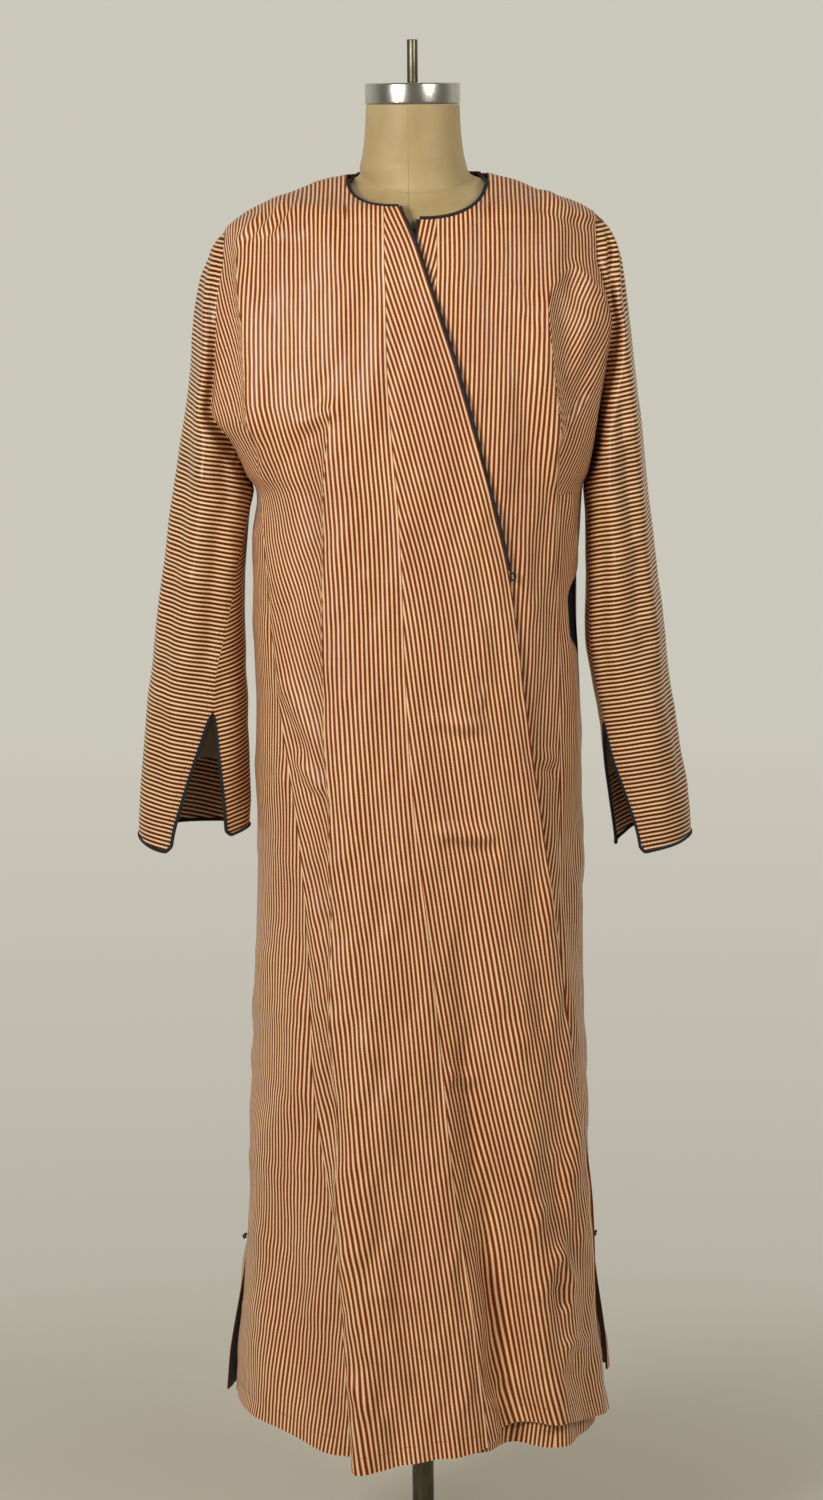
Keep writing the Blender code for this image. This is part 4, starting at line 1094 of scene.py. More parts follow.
shares = shares_at_shoulder(back_left_line, back_right_line, back_columns, "back")
back_base = body_grid(
    back_left_line, back_right_line, shares, foot_height(BACK_HEM), top_height, no_lift, "back"
)
back_heights = strokes(back_base, BACK_STROKES) + unevenness(back_base, 11, 1.3)
back_points = raised(back_base, back_heights * calm_edges(back_base))
back_across = straight_grain(back_base, 48)
body_cloth("back_cloth", back_points, back_across, "back_panel")

# %% [markdown]
# ## Side gores and underarm webs
#
# A gore on each side widens the skirt from the waist seam down, and opens below as a vent. Above
# the waist seam a small web joins it to the armhole. The stripes of a gore hang straight down the
# side seam; those of the web slant with the dragged chest.

# %% Cut the side gores
GORE_COLUMNS = 18
POCKET_Z = 1158.0
POCKET_LOW_Z = 1104.0
POCKET_HIGH_Z = 1216.0
side_grids = {}


def side_gore(side, face):
    if face == "front":
        inner = front_line("under_side" if side == "right" else "side_left")
        hem = foot_height(SIDE_HEM if side == "right" else UNDER_HEM)
        lift = no_lift
    else:
        inner, hem, lift = back_line(side), foot_height(BACK_HEM), vent_splay
    edge = side_line(side, face)
    shares = even_shares(GORE_COLUMNS, 0.3)
    foot = hem(inner(FOOT_Z) + (edge(FOOT_Z) - inner(FOOT_Z)) * shares)
    z = foot + (WAIST_SEAM_Z - foot) * np.linspace(0, 1, ROWS["skirt"] + 1)[:, None]
    turn = inner(z) + (edge(z) - inner(z)) * shares
    base = body_point(turn, z, lift(turn, z))
    lengths = lengths_along(base, 1)
    calm = smooth_step(0, 10, lengths) * smooth_step(0, 14, lengths[:, [-1]] - lengths)
    waves = unevenness(base, 20 + len(side_grids), 1.2)
    if (side, face) == ("left", "front"):
        covered = smooth_step(20, 0, base[..., 0] - FRONT_LINES.at("over_edge", z))
        waves = stay_under(base, waves, covered)
    points = raised(base, waves * calm)
    from_edge = lengths[:, [-1]] - lengths
    if (side, face) == ("left", "front"):
        pocket = np.exp(-(((z - POCKET_Z) / 36) ** 4))
        pulled_in = 11 * pocket + 8 * smooth_step(VENT_TOP_Z, 330, z)
        points[..., 0] -= pulled_in * smooth_step(66, 22, from_edge)
        points[..., 1] -= 5 * pocket * smooth_step(22, 2, from_edge)
    side_grids[side, face] = points
    body_cloth(f"side_{face}_{side}", points, -from_edge, f"side_gore_{face}_{side}")


for side in ("right", "left"):
    for face in ("front", "back"):
        side_gore(side, face)

# %% Cut the underarm webs
web_rows = slice(ROWS["skirt"], ROWS["skirt"] + ROWS["web"] + 1)
EDGE_DISTANCES = {
    ("right", "front"): over_web[0][web_rows, -1], ("left", "front"): under_web[0][web_rows, -1],
    ("left", "back"): np.abs(back_across[web_rows, 0]),
    ("right", "back"): np.abs(back_across[web_rows, -1]),
}


def underarm(side, face):
    inner = outer_line(side, face)
    z = np.linspace(WAIST_SEAM_Z, GUSSET_TOP_Z - 1, ROWS["web"] + 1)[:, None]
    armhole = turn_at(OUT[side] * armhole_seam(side, z)[0], z, face)
    start = side_line(side, face)(z)
    outer = armhole + (start - armhole) * smooth_step(WAIST_SEAM_Z + 10, WAIST_SEAM_Z, z)
    shares = even_shares(14, 0.3)
    points = body_point(inner(z) + (outer - inner(z)) * shares, z + 0 * shares)
    lengths = lengths_along(points, 1)
    across = EDGE_DISTANCES[side, face][:, None] + lengths
    if face == "front":
        points[..., 1] += armhole_valley(side, points[..., 2], lengths[:, [-1]] - lengths)
    body_cloth(f"underarm_{face}_{side}", points, across, f"gusset_{face}_{side}")


for side in ("right", "left"):
    for face in ("front", "back"):
        underarm(side, face)

# %% [markdown]
# ## Sleeves
#
# Each sleeve is one straight width folded over the arm, with its stripes running round it and its
# long seam inside the arm. The stripes cross the outer fold squarely and droop a little away from
# it, so where the two edges meet at the seam they point down like an arrow. The cuff is slit beside
# the seam. Without an arm the sleeve hangs flat and its cloth falls into long upright creases.

# %% Sleeve sizes
SLEEVES = {
    "right": Table("z inner outer depth seam slit_front slit_back", [
        (1300, 184, 273, 62, 180, 0, 0), (1268, 189, 279, 61, 160, 0, 0),
        (1222, 194, 286, 60, 148, 0, 0), (1155, 196, 296, 57, 130, 0, 0),
        (1106, 196, 302, 54, 116, 0, 0), (1056, 194, 309, 50, 110, 0, 0),
        (1044, 194, 310, 49, 110, 6, 3), (1002, 193, 315, 47, 109, 18, 9),
        (950, 193, 319, 45, 108, 31, 16),
        (900, 194, 321, 43, 107, 41, 22), (880, 194, 322, 43, 107, 42, 24),
    ]),
    "left": Table("z inner outer depth seam slit_front slit_back", [
        (1300, 191, 264, 62, 180, 0, 0), (1268, 194, 268, 61, 170, 0, 0),
        (1206, 194, 274, 60, 163, 0, 0), (1137, 193, 284, 56, 156, 0, 0),
        (1080, 200, 290, 52, 157, 0, 0), (1040, 208, 297, 49, 156, 0, 0),
        (1028, 210, 299, 48, 156, 5, 4), (997, 213, 303, 47, 155, 14, 12),
        (950, 220, 310, 45, 153, 28, 23),
        (900, 227, 313, 43, 150, 38, 33), (880, 229, 313, 43, 150, 40, 34),
    ]),
}
SLIT_TOP_Z = {"right": 1056.0, "left": 1040.0}
CUFFS = {
    "right": Table("angle z", [
        (-250, 904), (-180, 916), (-90, 914), (0, 906), (66, 891), (110, 893),
    ]),
    "left": Table("angle z", [
        (-190, 884), (-150, 896), (-90, 910), (0, 905), (60, 895), (120, 885),
    ]),
}
# Each row: angle and z of the top, angle and z of the bottom, width, height.
SLEEVE_FOLDS = {
    "right": [
        (74, 1500, 82, 1100, 16, 5.0), (112, 1380, 104, 1090, 13, -5.5), (40, 1440, 52, 960, 16, -3.0),
        (60, 1160, 70, 930, 14, 3.0), (20, 1340, 30, 1120, 14, 3.0), (96, 1300, 140, 1210, 9, 3.0),
        (30, 1240, 80, 1196, 9, 2.4), (60, 1330, 110, 1296, 9, 2.0), (48, 1560, 76, 1440, 9, 2.4),
        (70, 1580, 84, 1480, 8, -2.4), (30, 1080, 78, 1040, 10, 2.0), (-60, 1500, -70, 1120, 18, 4.5),
        (-104, 1420, -96, 1000, 18, -4.0), (-130, 1300, -120, 960, 16, 3.5),
        (-40, 1260, -80, 1200, 10, 2.6),
        (-50, 1100, -96, 1060, 10, 2.4), (10, 1560, 16, 1460, 10, 2.0),
    ],
    "left": [
        (100, 1440, 112, 1060, 15, 5.0), (76, 1420, 66, 1100, 13, -4.5), (50, 1500, 44, 1080, 15, 3.8),
        (124, 1260, 128, 1080, 11, -3.0), (34, 1330, 30, 940, 14, -2.6), (70, 1080, 76, 900, 14, 2.6),
        (30, 1590, 66, 1500, 8, 4.0), (48, 1590, 84, 1490, 7, -3.6), (18, 1586, 40, 1494, 7, -3.0),
        (62, 1582, 100, 1508, 7, 3.4), (60, 1250, 110, 1210, 9, 2.4), (50, 1160, 96, 1124, 9, 2.2),
        (40, 1380, 84, 1346, 9, 2.0), (-60, 1500, -70, 1120, 18, 4.5), (-104, 1420, -96, 1000, 18, -4.0),
        (-130, 1300, -120, 960, 16, 3.5), (-44, 1250, -86, 1190, 10, 2.6),
        (-52, 1090, -96, 1050, 10, 2.4),
    ],
}
print("folds on each sleeve:", {side: len(rows) for side, rows in SLEEVE_FOLDS.items()})

# %% The section of a sleeve
SLEEVE_COLUMNS = 72


def sleeve_section(side, z):
    """Middle, half width, half depth and first and last angle of the sleeve's ring."""
    arm, cuff = ARMHOLES[side], SLEEVES[side]
    above = z > WAIST_SEAM_Z
    seam, middle, outer = (arm.at(name, z) for name in ("seam", "middle", "outer"))
    end = np.arccos(np.clip((seam - middle) / (outer - middle), -1, 1))
    inner, edge = cuff.at("inner", z), cuff.at("outer", z)
    first = np.radians(cuff.at("seam", z) + cuff.at("slit_back", z) - 360)
    last = np.radians(cuff.at("seam", z) - cuff.at("slit_front", z))
    return (
        np.where(above, middle, (inner + edge) / 2),
        np.where(above, outer - middle, (edge - inner) / 2),
        np.where(above, arm.at("depth", z), cuff.at("depth", z)),
        np.where(above, -end, first), np.where(above, end, last),
    )


def sleeve_heights(side):
    shares = np.linspace(0, 1, SLEEVE_COLUMNS + 1)
    first, last = sleeve_section(side, np.array(900.0))[3:]
    foot = CUFFS[side].at("z", np.degrees(first + (last - first) * shares))
    cuff = foot + (SLIT_TOP_Z[side] - foot) * np.linspace(0, 1, 33)[:-1, None]
    arm = np.linspace(SLIT_TOP_Z[side], WAIST_SEAM_Z, 50)[:-1, None] + 0 * foot
    armhole = np.linspace(WAIST_SEAM_Z, RIDGE_END_Z[side] - 3, 58)[:, None] + 0 * foot
    return shares, np.vstack([cuff, arm, armhole])


def down_outer_fold(side, z):
    """How far down the sleeve's outer fold a height is, measured along the fold."""
    heights = np.linspace(870, 1600, 400)
    middle, half = sleeve_section(side, heights)[:2]
    steps = np.hypot(np.diff(middle + half), np.diff(heights))
    return np.interp(z, heights, np.concatenate([[0], np.cumsum(steps)]))


print("middle of the right cuff:", sleeve_section("right", np.array(900.0))[0].round(1), "mm out")

# %% Cut and crease the sleeves
SLEEVE_STRIPE_DROP = 0.2
MM_A_DEGREE = 0.9
sleeve_grids = {}


def sleeve(side):
    shares, z = sleeve_heights(side)
    middle, half, depth, first, last = sleeve_section(side, z)
    angle = first + (last - first) * shares
    base = np.stack([
        OUT[side] * (middle + half * np.cos(angle)), -depth * np.sin(angle), z
    ], axis=-1)
    degrees = np.degrees(angle)
    height = np.zeros(z.shape)
    for angle_top, z_top, angle_bottom, z_bottom, width, rise in SLEEVE_FOLDS[side]:
        ends = (angle_top * MM_A_DEGREE, z_top), (angle_bottom * MM_A_DEGREE, z_bottom)
        height += rise * stroke(degrees * MM_A_DEGREE, z, *ends, width, 0.32, 0.16)
    around = lengths_along(base, 1)
    calm = smooth_step(0, 10, around) * smooth_step(0, 10, around[:, [-1]] - around)
    waves = unevenness(base, 31 if side == "right" else 37, 0.7)
    outward = unit(base - np.stack([OUT[side] * middle, 0 * z, z], axis=-1))
    points = base + outward * ((1.25 * height + waves) * calm)[..., None]
    points[..., 1] += armhole_valley(side, z, around[:, [-1]] - around, 20)
    points[-1] = OUT[side] * RIDGE_END_X[side], 0, RIDGE_END_Z[side]
    at_fold = np.array([np.interp(0, row, lengths) for row, lengths in zip(degrees, around)])
    from_fold = np.abs(around - at_fold[:, None])
    across = down_outer_fold(side, z) + SLEEVE_STRIPE_DROP * from_fold**2 / (from_fold + 25)
    sleeve_grids[side] = points
    cloth(f"sleeve_cloth_{side}", points, across, sleeve_silk, [f"sleeve_{side}"])


for side in ("right", "left"):
    sleeve(side)

# %% [markdown]
# ## The sleeve linings
#
# Through each slit the inside of the sleeve shows: pale lining above, and a band of the striped
# silk turned in above the cuff. The shell already shows its stripes inside, so only the pale part
# is added, a skin just inside the sleeve that stops where the turned band begins.

# %% Line the sleeves
TURNED_BAND = 64.0
LINING_INSET = 1.6
LINING_COLUMNS = slice(4, -3)


def sleeve_lining(side):
    points = sleeve_grids[side]
    z = sleeve_heights(side)[1]
    middle = sleeve_section(side, z)[0]
    outward = unit(points - np.stack([OUT[side] * middle, 0 * z, z], axis=-1))
    lowest = np.searchsorted(lengths_along(points, 0)[:, 20], TURNED_BAND)
    rows = [row for row in range(14, 84, 2) if row >= lowest]
    skin = (points - outward * LINING_INSET)[rows][:, LINING_COLUMNS]
    across = lengths_along(skin, 0)
    cloth(f"sleeve_lining_{side}", skin, across, lining_cloth, thickness=0.4)


for side in ("right", "left"):
    sleeve_lining(side)

# %% [markdown]
# ## Cords
#
# A dark plaited cord is sewn over every raw edge: round the neck, down the free edges and round
# the cuffs. A smooth tube would look like wire. Three strands twisted round one another catch the
# light in small slanting beads, as the real cord does. The path is the cloth's own edge, moved a
# little off it.

# %% Make a twisted cord
CORD_RADIUS = 2.3
CORD_OFFSET = 1.6
STRANDS = 3
STRAND_SIDES = 6


def even_path(path, step):
    lengths = lengths_along(path, 0)
    return places_along(path, lengths, np.linspace(0, lengths[-1], int(lengths[-1] / step) + 1))


def smooth_path(path, rounds):
    for _ in range(rounds):
        path[1:-1] = 0.25 * path[:-2] + 0.5 * path[1:-1] + 0.25 * path[2:]
    return path


def path_frames(path):
    """Two directions square to the path at each point, turning as little as they can."""
    along = unit(np.gradient(path, axis=0))
    first = np.cross(along[0], (0.31, 0.62, 0.72))
    firsts = []
    for direction in along:
        first = unit(first - direction * np.dot(first, direction))
        firsts.append(first)
    firsts = np.array(firsts)
    return firsts, np.cross(along, firsts)


def twisted_cord(name, path, replaces, radius=CORD_RADIUS, turn=7.5, step=0.9, rounds=4):
    """Strands twisted round a path, with one full turn in each length called turn."""
    path = smooth_path(even_path(path, step), rounds)
    first, second = path_frames(path)
    lengths = np.arange(len(path)) * step
    strand_radius = radius * 0.56
    verts, faces = [], []

    def beside(angle, reach):
        return (first * np.cos(angle)[:, None] + second * np.sin(angle)[:, None]) * reach

    for strand in range(STRANDS):
        phase = math.tau * (lengths / turn + strand / STRANDS)
        centre = path + beside(phase, radius - strand_radius)
        corners = math.tau * np.arange(STRAND_SIDES) / STRAND_SIDES
        ring = [centre + beside(corner + 0 * phase, strand_radius) for corner in corners]
        base = strand * len(path) * STRAND_SIDES
        verts.append(np.stack(ring, axis=1).reshape(-1, 3))
        for k in range(len(path) - 1):
            for j in range(STRAND_SIDES):
                a = base + k * STRAND_SIDES + j
                b = base + k * STRAND_SIDES + (j + 1) % STRAND_SIDES
                faces.append((a, b, b + STRAND_SIDES, a + STRAND_SIDES))
        last = base + (len(path) - 1) * STRAND_SIDES
        faces.append(tuple(base + j for j in reversed(range(STRAND_SIDES))))
        faces.append(tuple(last + j for j in range(STRAND_SIDES)))
    mesh = smooth_mesh(name, np.concatenate(verts), faces)
    print(f"{name}: {lengths[-1]:.0f} mm long, {2 * len(faces)} triangles")
    return place_piece(name, mesh, cord_cloth, replaces)


def beyond(rim, inner):
    """The edge of the cloth, moved squarely off it and away from the next line in."""
    along = unit(np.gradient(rim, axis=0))
    away = rim - inner
    away -= along * (away * along).sum(axis=1, keepdims=True)
    return rim + unit(away) * CORD_OFFSET


print("cord tools ready")

# %% Lay the cords
LOOP_Z = 1213.0
LOOP_RADIUS = 4.2
NECK_COLUMNS = 16
neckline = np.concatenate([
    beyond(gore_points[-1], gore_points[-3])[:0:-1],
    beyond(over_points[-1], over_points[-3])[:NECK_COLUMNS],
    beyond(back_points[-1], back_points[-3])[31:64][::-1],
    beyond(under_points[-1], under_points[-3])[:NECK_COLUMNS][::-1],
    beyond(under_gore_base[-1], under_gore_base[-3])[1:],
])
neck_cord = twisted_cord("neck_cord", neckline, ["neck_braid"], rounds=10)


def edge_cord(name, points, replaces):
    path = beyond(points[:, -1], points[:, -3])
    path = path[path[:, 2] > LOOP_Z + LOOP_RADIUS + 1]
    return twisted_cord(name, path[:-1], replaces, rounds=6)


over_edge_cord = edge_cord("over_edge_cord", gore_points, ["edge_braid_right"])
under_edge_cord = edge_cord("under_edge_cord", under_gore_base, ["edge_braid_left"])


def cuff_cord(side):
    points = sleeve_grids[side]
    rows = points[:, 0, 2] < SLIT_TOP_Z[side] - 6
    first = beyond(points[rows][:, 0], points[rows][:, 2])
    last = beyond(points[rows][:, -1], points[rows][:, -3])
    hem = beyond(points[0], points[2])
    path = np.concatenate([first[:0:-1], hem[1:-1], last[1:]])
    return twisted_cord(f"cuff_cord_{side}", path, [f"cuff_braid_{side}"], rounds=5)


cuff_cords = {side: cuff_cord(side) for side in ("right", "left")}

# %% [markdown]
# ## Knots and the loop
#
# The edge cord ends at the waist in a small loop with a loose tail, and a knot of cord stays the
# top of each side vent. The knot is a short cord wound twice round itself.

# %% Tie the loop and the vent knots
loop_turn = front_line("over_edge")(LOOP_Z)
loop_middle = body_point(loop_turn, LOOP_Z, over_lift(loop_turn, LOOP_Z)) + (LOOP_RADIUS, 0, 0)
loop_angles = np.linspace(0.5 * math.pi, -1.5 * math.pi, 40)
loop_ring = np.stack([
    0.7 * LOOP_RADIUS * np.cos(loop_angles), -0.4 * np.sin(loop_angles),
    LOOP_RADIUS * np.sin(loop_angles),
], axis=1)
loop_tail = np.array([(0.5, -1.2, 3.0), (1.6, -1.6, -1.0), (1.0, -1.4, -5.0), (2.2, -1.2, -9.0)])
loop_path = loop_middle + np.concatenate([loop_ring, loop_tail])
loop_cord = twisted_cord("loop_cord", loop_path, ["edge_loop"], 1.0, turn=4.0, step=0.5, rounds=2)


def vent_knot(side):
    turn = side_line(side, "front")(VENT_TOP_Z)
    middle = body_point(turn, VENT_TOP_Z, 3.4)
    t = np.linspace(0, math.tau, 60)
    knot = np.stack([
        1.5 * np.sin(2 * t) + 0.6 * np.cos(t), 2.1 * np.cos(t) - 1.0 * np.cos(2 * t),
        2.3 * np.sin(t) + 1.1 * np.sin(2 * t),
    ], axis=1)
    path = middle + knot
    twisted_cord(f"knot_cord_{side}", path, [f"vent_knot_{side}"], 1.1, turn=4.0, step=0.5, rounds=1)


for side in ("right", "left"):
    vent_knot(side)

# %% [markdown]
# ## Facings
#
# Inside each vent the back flap is faced with dark cloth, which shows past the front flap. The
# side pocket is a slit in the side seam with the same dark cloth behind it. Both are strips made
# from the gore's own edge, moved inwards by a little more than the cloth.

# %% Face the vents and the pockets
FACING_INSET = 1.4


def facing_strip(name, points, low_z, high_z, steps, node, tuck=0.0):
    """A strip inside a gore's side edge. Steps below 0 go past the edge, tucked inwards."""
    rows = np.where((points[:, -1, 2] > low_z) & (points[:, -1, 2] < high_z))[0]
    inside = (points - grid_normals(points) * FACING_INSET)[rows, ::-1]
    lengths = lengths_along(inside, 1)
    past = np.maximum(0, -steps)[:, None]
    strip = []
    for row, length in zip(inside, lengths):
        line = places_along(row, length, steps) + unit(row[0] - row[2]) * past
        line[:, 0] -= np.sign(row[0, 0]) * tuck * past[:, 0] / max(1.0, past.max())
        strip.append(line)
    strip = np.array(strip)
    across = lengths_along(strip, 1)
    cloth(name, strip, across, facing_cloth, [node], thickness=0.5)


vent_steps, pocket_steps = np.linspace(-1.5, 34, 14), np.linspace(-18, 14, 12)
for side in ("right", "left"):
    gore = side_grids[side, "back"]
    facing_strip(f"vent_lining_{side}", gore, 0, VENT_TOP_Z, vent_steps, f"vent_facing_{side}")
    facing_strip(
        f"pocket_lining_{side}", gore, POCKET_LOW_Z, POCKET_HIGH_Z, pocket_steps,
        f"pocket_facing_{side}", tuck=12.0,
    )

# %% [markdown]
# ## Sewing
#
# Seams of a hand-sewn robe show as short stitches: a line round the neck facing, one above the
# hem, a doubled row down each sleeve and one above each cuff. Each stitch is a tiny bead lying on
# the cloth. All the stitches of a kind are one mesh.

# %% Stitch tools
STITCH_LENGTH = 2.2


def line_from_edge(points, edge, distance):
    """A line at one distance in from an edge of a grid, and the cloth's normals there."""
    normals = grid_normals(points)
    if edge in ("left", "right"):
        points, normals = points.transpose(1, 0, 2), normals.transpose(1, 0, 2)
    if edge in ("top", "right"):
        points, normals = points[::-1], normals[::-1]
    lengths = lengths_along(points, 0)
    columns = range(points.shape[1])
    return tuple(
        np.array([places_along(grid[:, j], lengths[:, j], distance) for j in columns])
        for grid in (points, normals)
    )


def stitches(name, lines, thread, pitch, width=0.42):
    """Beads along lines. A line is its points and the cloth's normals there."""
    verts, faces = [], []
    for line, away in lines:
        lengths = lengths_along(line, 0)
        for place in np.arange(pitch, lengths[-1] - pitch, pitch):
            ends = places_along(line, lengths, place + np.array([-0.5, 0.5]) * STITCH_LENGTH)
            normal = unit(places_along(away, lengths, place))
            side = unit(np.cross(normal, ends[1] - ends[0]))
            ends = ends + normal * WALL / 2
            middle = (ends[0] + ends[1]) / 2
            base = len(verts)
            verts += [ends[0], ends[1], middle + side * width, middle + normal * width]
            verts += [middle - side * width, middle - normal * 0.3]
            for a, b in ((2, 3), (3, 4), (4, 5), (5, 2)):
                faces += [(base, base + a, base + b), (base + 1, base + b, base + a)]
    print(f"{name}: {len(faces) // 8} stitches")
    return place_piece(name, smooth_mesh(name, verts, faces), thread)


print("a stitch is", STITCH_LENGTH, "mm long")

# %% Sew
NECK_FACING = 27.0
HEM_TURN = 20.0
neck_lines = [
    line_from_edge(grid, "top", NECK_FACING)
    for grid in (over_points[:, :NECK_COLUMNS], under_points[:, :NECK_COLUMNS], gore_points)
]
neck_stitches = stitches("neck_stitches", neck_lines, pale_thread, 5.0)
hem_lines = [
    line_from_edge(grid, "bottom", HEM_TURN)
    for grid in (over_points, gore_points, under_points, back_points, *side_grids.values())
]
hem_stitches = stitches("hem_stitches", hem_lines, brown_thread, 4.6, width=0.5)
sleeve_lines = []
for side in ("right", "left"):
    for distance in (2.5, 7.0):
        sleeve_lines.append(line_from_edge(sleeve_grids[side][:82], "right", distance))
    sleeve_lines.append(line_from_edge(sleeve_grids[side], "bottom", 6.0))
sleeve_stitches = stitches("sleeve_stitches", sleeve_lines, brown_thread, 3.8)

# %% [markdown]
# ## The dress form
#
# The form is a padded shell covered in canvas. Only its neck and the top of its chest show, with
# a seam down the middle, one round the base of the neck, and a pin where they cross. Its shape is
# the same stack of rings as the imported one, with many more of them. The neck is left plain.

# %% Cover the form
TORSO_SHIFT = 4.5
BLEND = 7
FORM = Table("z neck half front back", [
    (1731, 52.5, 20, 10, 10), (1700, 54, 20, 10, 10), (1675, 57, 24, 10, 14), (1661, 60, 36, 10, 26),
    (1654, 60, 50, 10, 34), (1648, 60, 74, 14, 42), (1640, 60, 108, 30, 57), (1629, 64, 149, 56, 72),
    (1620, 64, 176, 74, 83), (1612, 64, 190, 84, 88), (1600, 62, 198, 92, 93), (1580, 60, 198, 98, 98),
    (1550, 60, 194, 104, 103), (1500, 60, 184, 112, 109), (1440, 60, 168, 118, 110),
    (1380, 60, 160, 116, 106), (1300, 60, 148, 104, 98), (1200, 60, 142, 96, 92),
    (1100, 60, 152, 98, 98), (1000, 60, 162, 102, 104), (950, 60, 164, 102, 104),
    (905, 60, 160, 98, 102),
])


def form_point(angle, z, out=0.0):
    """Points of the form: its round neck blended with its oval torso."""
    neck, half, front, back = (FORM.at(name, z) for name in ("neck", "half", "front", "back"))
    depth = np.where(np.sin(angle) < 0, front, back)
    torso = 1 / np.hypot(np.cos(angle) / half, np.sin(angle) / depth)
    radius = (neck**BLEND + torso**BLEND) ** (1 / BLEND) + out
    shift = TORSO_SHIFT * smooth_step(1665, 1640, z)
    return np.stack([shift + radius * np.cos(angle), radius * np.sin(angle), z + 0 * angle], axis=-1)


def ring_solid(name, rings, finish, replaces):
    """A closed solid through a stack of rings, with flat ends."""
    rows, around = rings.shape[:2]
    index = np.arange(rows * around).reshape(rows, around)
    after = np.roll(index, -1, axis=1)
    faces = np.stack([index[:-1], after[:-1], after[1:], index[1:]], axis=-1)
    faces = faces.reshape(-1, 4).tolist() + [index[0][::-1].tolist(), index[-1].tolist()]
    print(f"{name}: {rows} rings of {around}")
    mesh = smooth_mesh(name, rings.reshape(-1, 3), faces, 35)
    return place_piece(name, mesh, finish, replaces)


form_z = np.concatenate([np.linspace(905, 1560, 40), np.linspace(1564, 1731, 60)])
form_angles = np.arange(96) * math.tau / 96
form_rings = form_point(form_angles[None, :], form_z[:, None])
canvas_form = ring_solid("canvas_form", form_rings, canvas_cloth, ["form_torso"])

# %% The form's seams and pin
COLLAR_Z = 1634.0
SEAM_X = -5.5
PIN_RADIUS = 1.3


def seam_line(name, path, radius):
    """A line of seam thread laid on the form's canvas."""
    curve = bpy.data.curves.new(name, "CURVE")
    curve.dimensions = "3D"
    spline = curve.splines.new("POLY")
    spline.points.add(len(path) - 1)
    for point, place in zip(spline.points, path):
        point.co = (*(place * MM), 1)
    curve.bevel_depth = radius * MM
    curve.bevel_resolution = 1
    curve.use_fill_caps = True
    place_piece(name, curve, seam_thread)


def front_angle(z):
    """The angle at which the middle seam lies, a little to the right of the form's middle."""
    shift, reach, _ = form_point(np.full(np.shape(z), -math.pi / 2), z).T
    return -math.pi / 2 + (SEAM_X - shift) / np.abs(reach)


seam_z = np.linspace(1560, 1730, 60)
seam_line("form_middle_seam", form_point(front_angle(seam_z), seam_z, -0.12), 0.32)
collar_angle = np.linspace(-math.pi * 0.88, -math.pi * 0.12, 60)
collar_z = COLLAR_Z + 14 * np.abs(np.cos(collar_angle)) ** 2
seam_line("form_collar_seam", form_point(collar_angle, collar_z, -0.1), 0.3)
pin_place = form_point(front_angle(np.array([COLLAR_Z])), np.array([COLLAR_Z]), 0.8)[0]
pin_mesh = bpy.data.meshes.new("pin")
pin_shape = bmesh.new()
bmesh.ops.create_uvsphere(pin_shape, u_segments=16, v_segments=10, radius=PIN_RADIUS * MM)
for vertex in pin_shape.verts:
    vertex.co.y *= 0.7
pin_shape.to_mesh(pin_mesh)
pin_shape.free()
pin_mesh.shade_smooth()
pin = place_piece("pin", pin_mesh, cap_metal, place=pin_place * MM)
print("pin at", [round(c, 3) for c in pin.location])

# %% [markdown]
# ## The stand
#
# The cap, the post, the pole and the base are all turned on a lathe, so each is a short profile of
# radius and height spun round the middle. Rounded corners are what makes turned metal catch light.

# %% Turn the cap, the post, the pole and the base
def turned(name, profile, finish, replaces, around=96):
    angle = np.arange(around) * math.tau / around
    rings = np.array([
        np.stack([r * np.cos(angle), r * np.sin(angle), z + 0 * angle], axis=-1) for r, z in profile
    ])
    ring_solid(name, rings, finish, replaces)


def rounded(radius, low, high, corner, steps=5):
    """A profile with rounded edges at its foot and its top."""
    arc, flat = np.linspace(0, math.pi / 2, steps), radius - corner
    foot = [(flat + corner * math.sin(a), low + corner - corner * math.cos(a)) for a in arc]
    top = [(flat + corner * math.cos(a), high - corner + corner * math.sin(a)) for a in arc]
    return foot + top


cap_profile = [(50.0, 1731.4)] + rounded(53.5, 1731.4, 1755.0, 2.4, 7)
cap_profile += [(47.0, 1755.0), (46.2, 1754.2), (20.0, 1754.2), (7.0, 1754.2)]
turned("metal_cap", cap_profile, cap_metal, ["neck_cap"])
post_profile = [(5.2, 1755.3)] + rounded(6.0, 1755.3, 1803.0, 0.8) + [(2.0, 1803.0)]
turned("steel_post", post_profile, dull_metal, ["top_post"], 48)
pole_profile = rounded(12.7, 14.3, 904.7, 0.8)
turned("steel_pole", pole_profile, dull_metal, ["pole"], 48)
base_profile = rounded(200.0, 0.0, 14.0, 3.0) + [(60.0, 14.0), (16.0, 14.0)]
turned("steel_base", base_profile, dull_metal, ["base"], 128)

# %% [markdown]
# ## The room
#
# The robe stands in front of pale paper, in soft light from a large window on the left, with a
# weaker lamp on the right. Paper that curves up behind would hide the robe from other sides, so the
# floor fades out at its rim and the sky behind it has the paper's colour, darker towards the bottom:
# painted shade on the paper. In front, the room is dim, which lets the folds keep their shaded
# sides. Nothing here is part of the robe.

# %% Lamps
def area_lamp(name, place, target, size, watts, colour):
    data = bpy.data.lights.new(name, "AREA")
    data.shape = "DISK"
    data.size = size
    data.energy = watts
    data.color = colour
    lamp = bpy.data.objects.new(name, data)
    bpy.context.scene.collection.objects.link(lamp)
    lamp.location = place
    lamp.rotation_mode = "QUATERNION"
    lamp.rotation_quaternion = (Vector(target) - Vector(place)).to_track_quat("-Z", "Y")


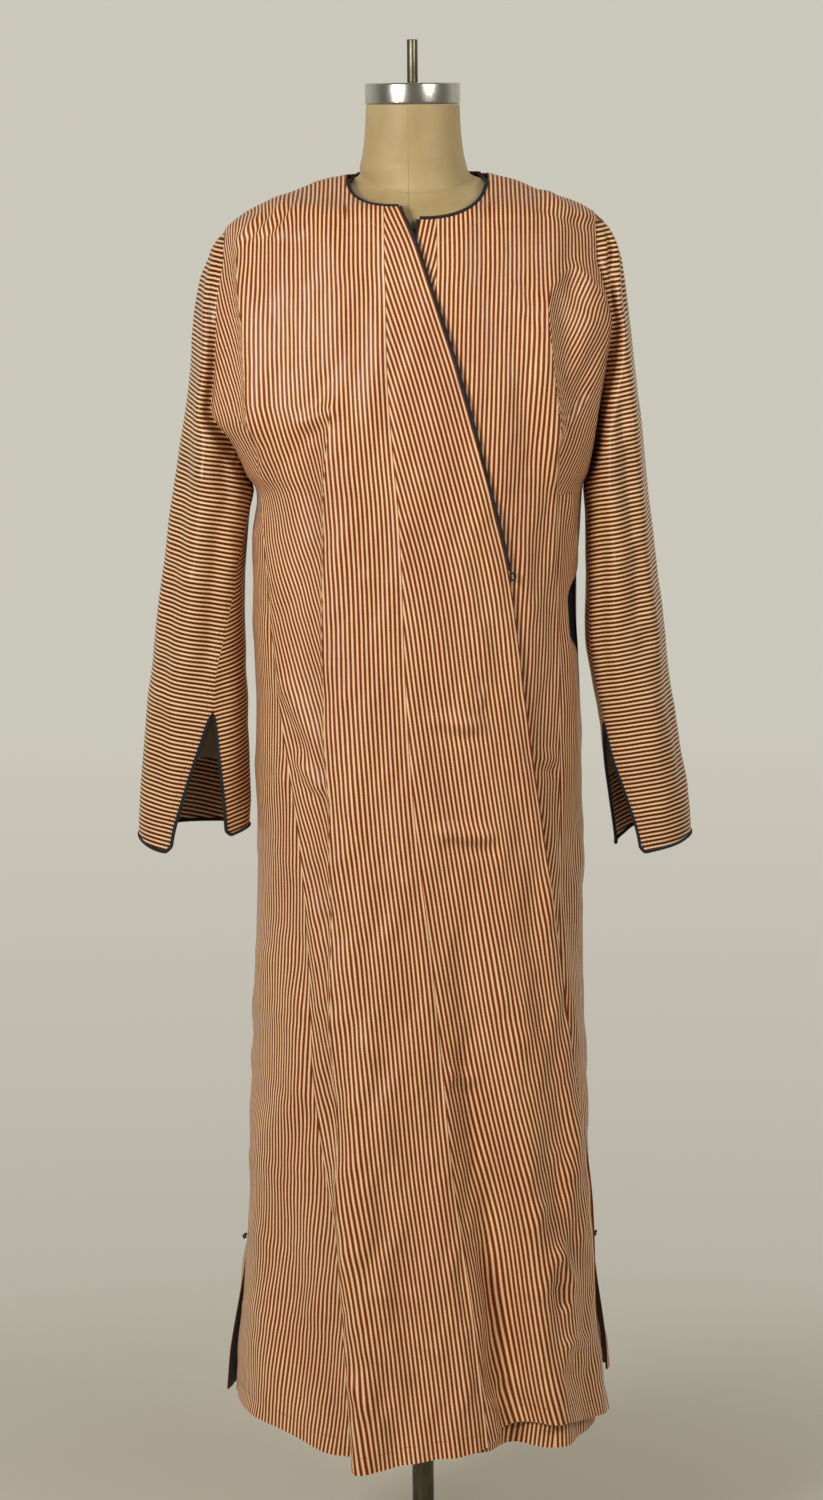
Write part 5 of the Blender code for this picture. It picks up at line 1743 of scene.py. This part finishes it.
area_lamp("window_light", (-1.6, -2.2, 2.0), (0, 0, 1.3), 0.9, 55, (1.0, 0.97, 0.92))
area_lamp("fill_light", (1.6, -1.9, 2.3), (0.1, 0, 1.45), 1.0, 24, (1.0, 0.96, 0.9))
print("lamps: 2")

# %% Floor
FLOOR_SOLID = 0.25
FLOOR_RIM = 1.5
FLOOR_CORNERS = [(-2.5, -2.5, 0), (2.5, -2.5, 0), (2.5, 2.5, 0), (-2.5, 2.5, 0)]
floor_mesh = bpy.data.meshes.new("floor")
floor_mesh.from_pydata(FLOOR_CORNERS, [], [(0, 1, 2, 3)])
floor_paper, floor_tree, floor_shader = new_material("floor_paper")
floor_place = add_node(floor_tree, "ShaderNodeTexCoord").outputs["Object"]
floor_grain = stretched_noise(floor_tree, floor_place, (3.0, 3.0, 3.0), 4.0)
floor_tree.links.new(
    colour_between(floor_tree, floor_grain, (0.66, 0.62, 0.52, 1), (0.70, 0.66, 0.56, 1)),
    floor_shader.inputs["Base Color"],
)
from_middle = add_node(floor_tree, "ShaderNodeVectorMath", [(0, floor_place)], operation="LENGTH")
floor_tree.links.new(
    remap(floor_tree, from_middle.outputs["Value"], FLOOR_SOLID, FLOOR_RIM, 1.0, 0.0, soft=True),
    floor_shader.inputs["Alpha"],
)
floor_shader.inputs["Roughness"].default_value = 0.9
floor_mesh.materials.append(floor_paper)
floor = bpy.data.objects.new("floor", floor_mesh)
bpy.context.scene.collection.objects.link(floor)
floor.location = (0, 0, -0.0005)
print("the floor is solid to", FLOOR_SOLID, "m and gone at", FLOOR_RIM, "m")

# %% Sky
sky = bpy.data.worlds.new("sky")
bpy.context.scene.world = sky
sky.use_nodes = True
sky_tree = sky.node_tree
sky_place = add_node(sky_tree, "ShaderNodeTexCoord").outputs["Generated"]
sky_parts = add_node(sky_tree, "ShaderNodeSeparateXYZ", [(0, sky_place)])
# The paper colour darkens towards the bottom: painted shade, for the paper getting less light low down.
sky_level = remap(sky_tree, sky_parts.outputs[2], -0.35, -0.15, 0.0, 1.0)
shaded_paper_colour = colour_between(sky_tree, sky_level, (0.42, 0.39, 0.31, 1), (0.595, 0.575, 0.50, 1))
behind = remap(sky_tree, sky_parts.outputs[1], -0.3, 0.6, 0.0, 1.0, soft=True)
sky_colour = colour_between(sky_tree, behind, (0.16, 0.15, 0.13, 1), shaded_paper_colour)
sky_tree.links.new(sky_colour, sky_tree.nodes["Background"].inputs["Color"])
sky_tree.nodes["Background"].inputs["Strength"].default_value = 1.0
print("sky:", sky.name)
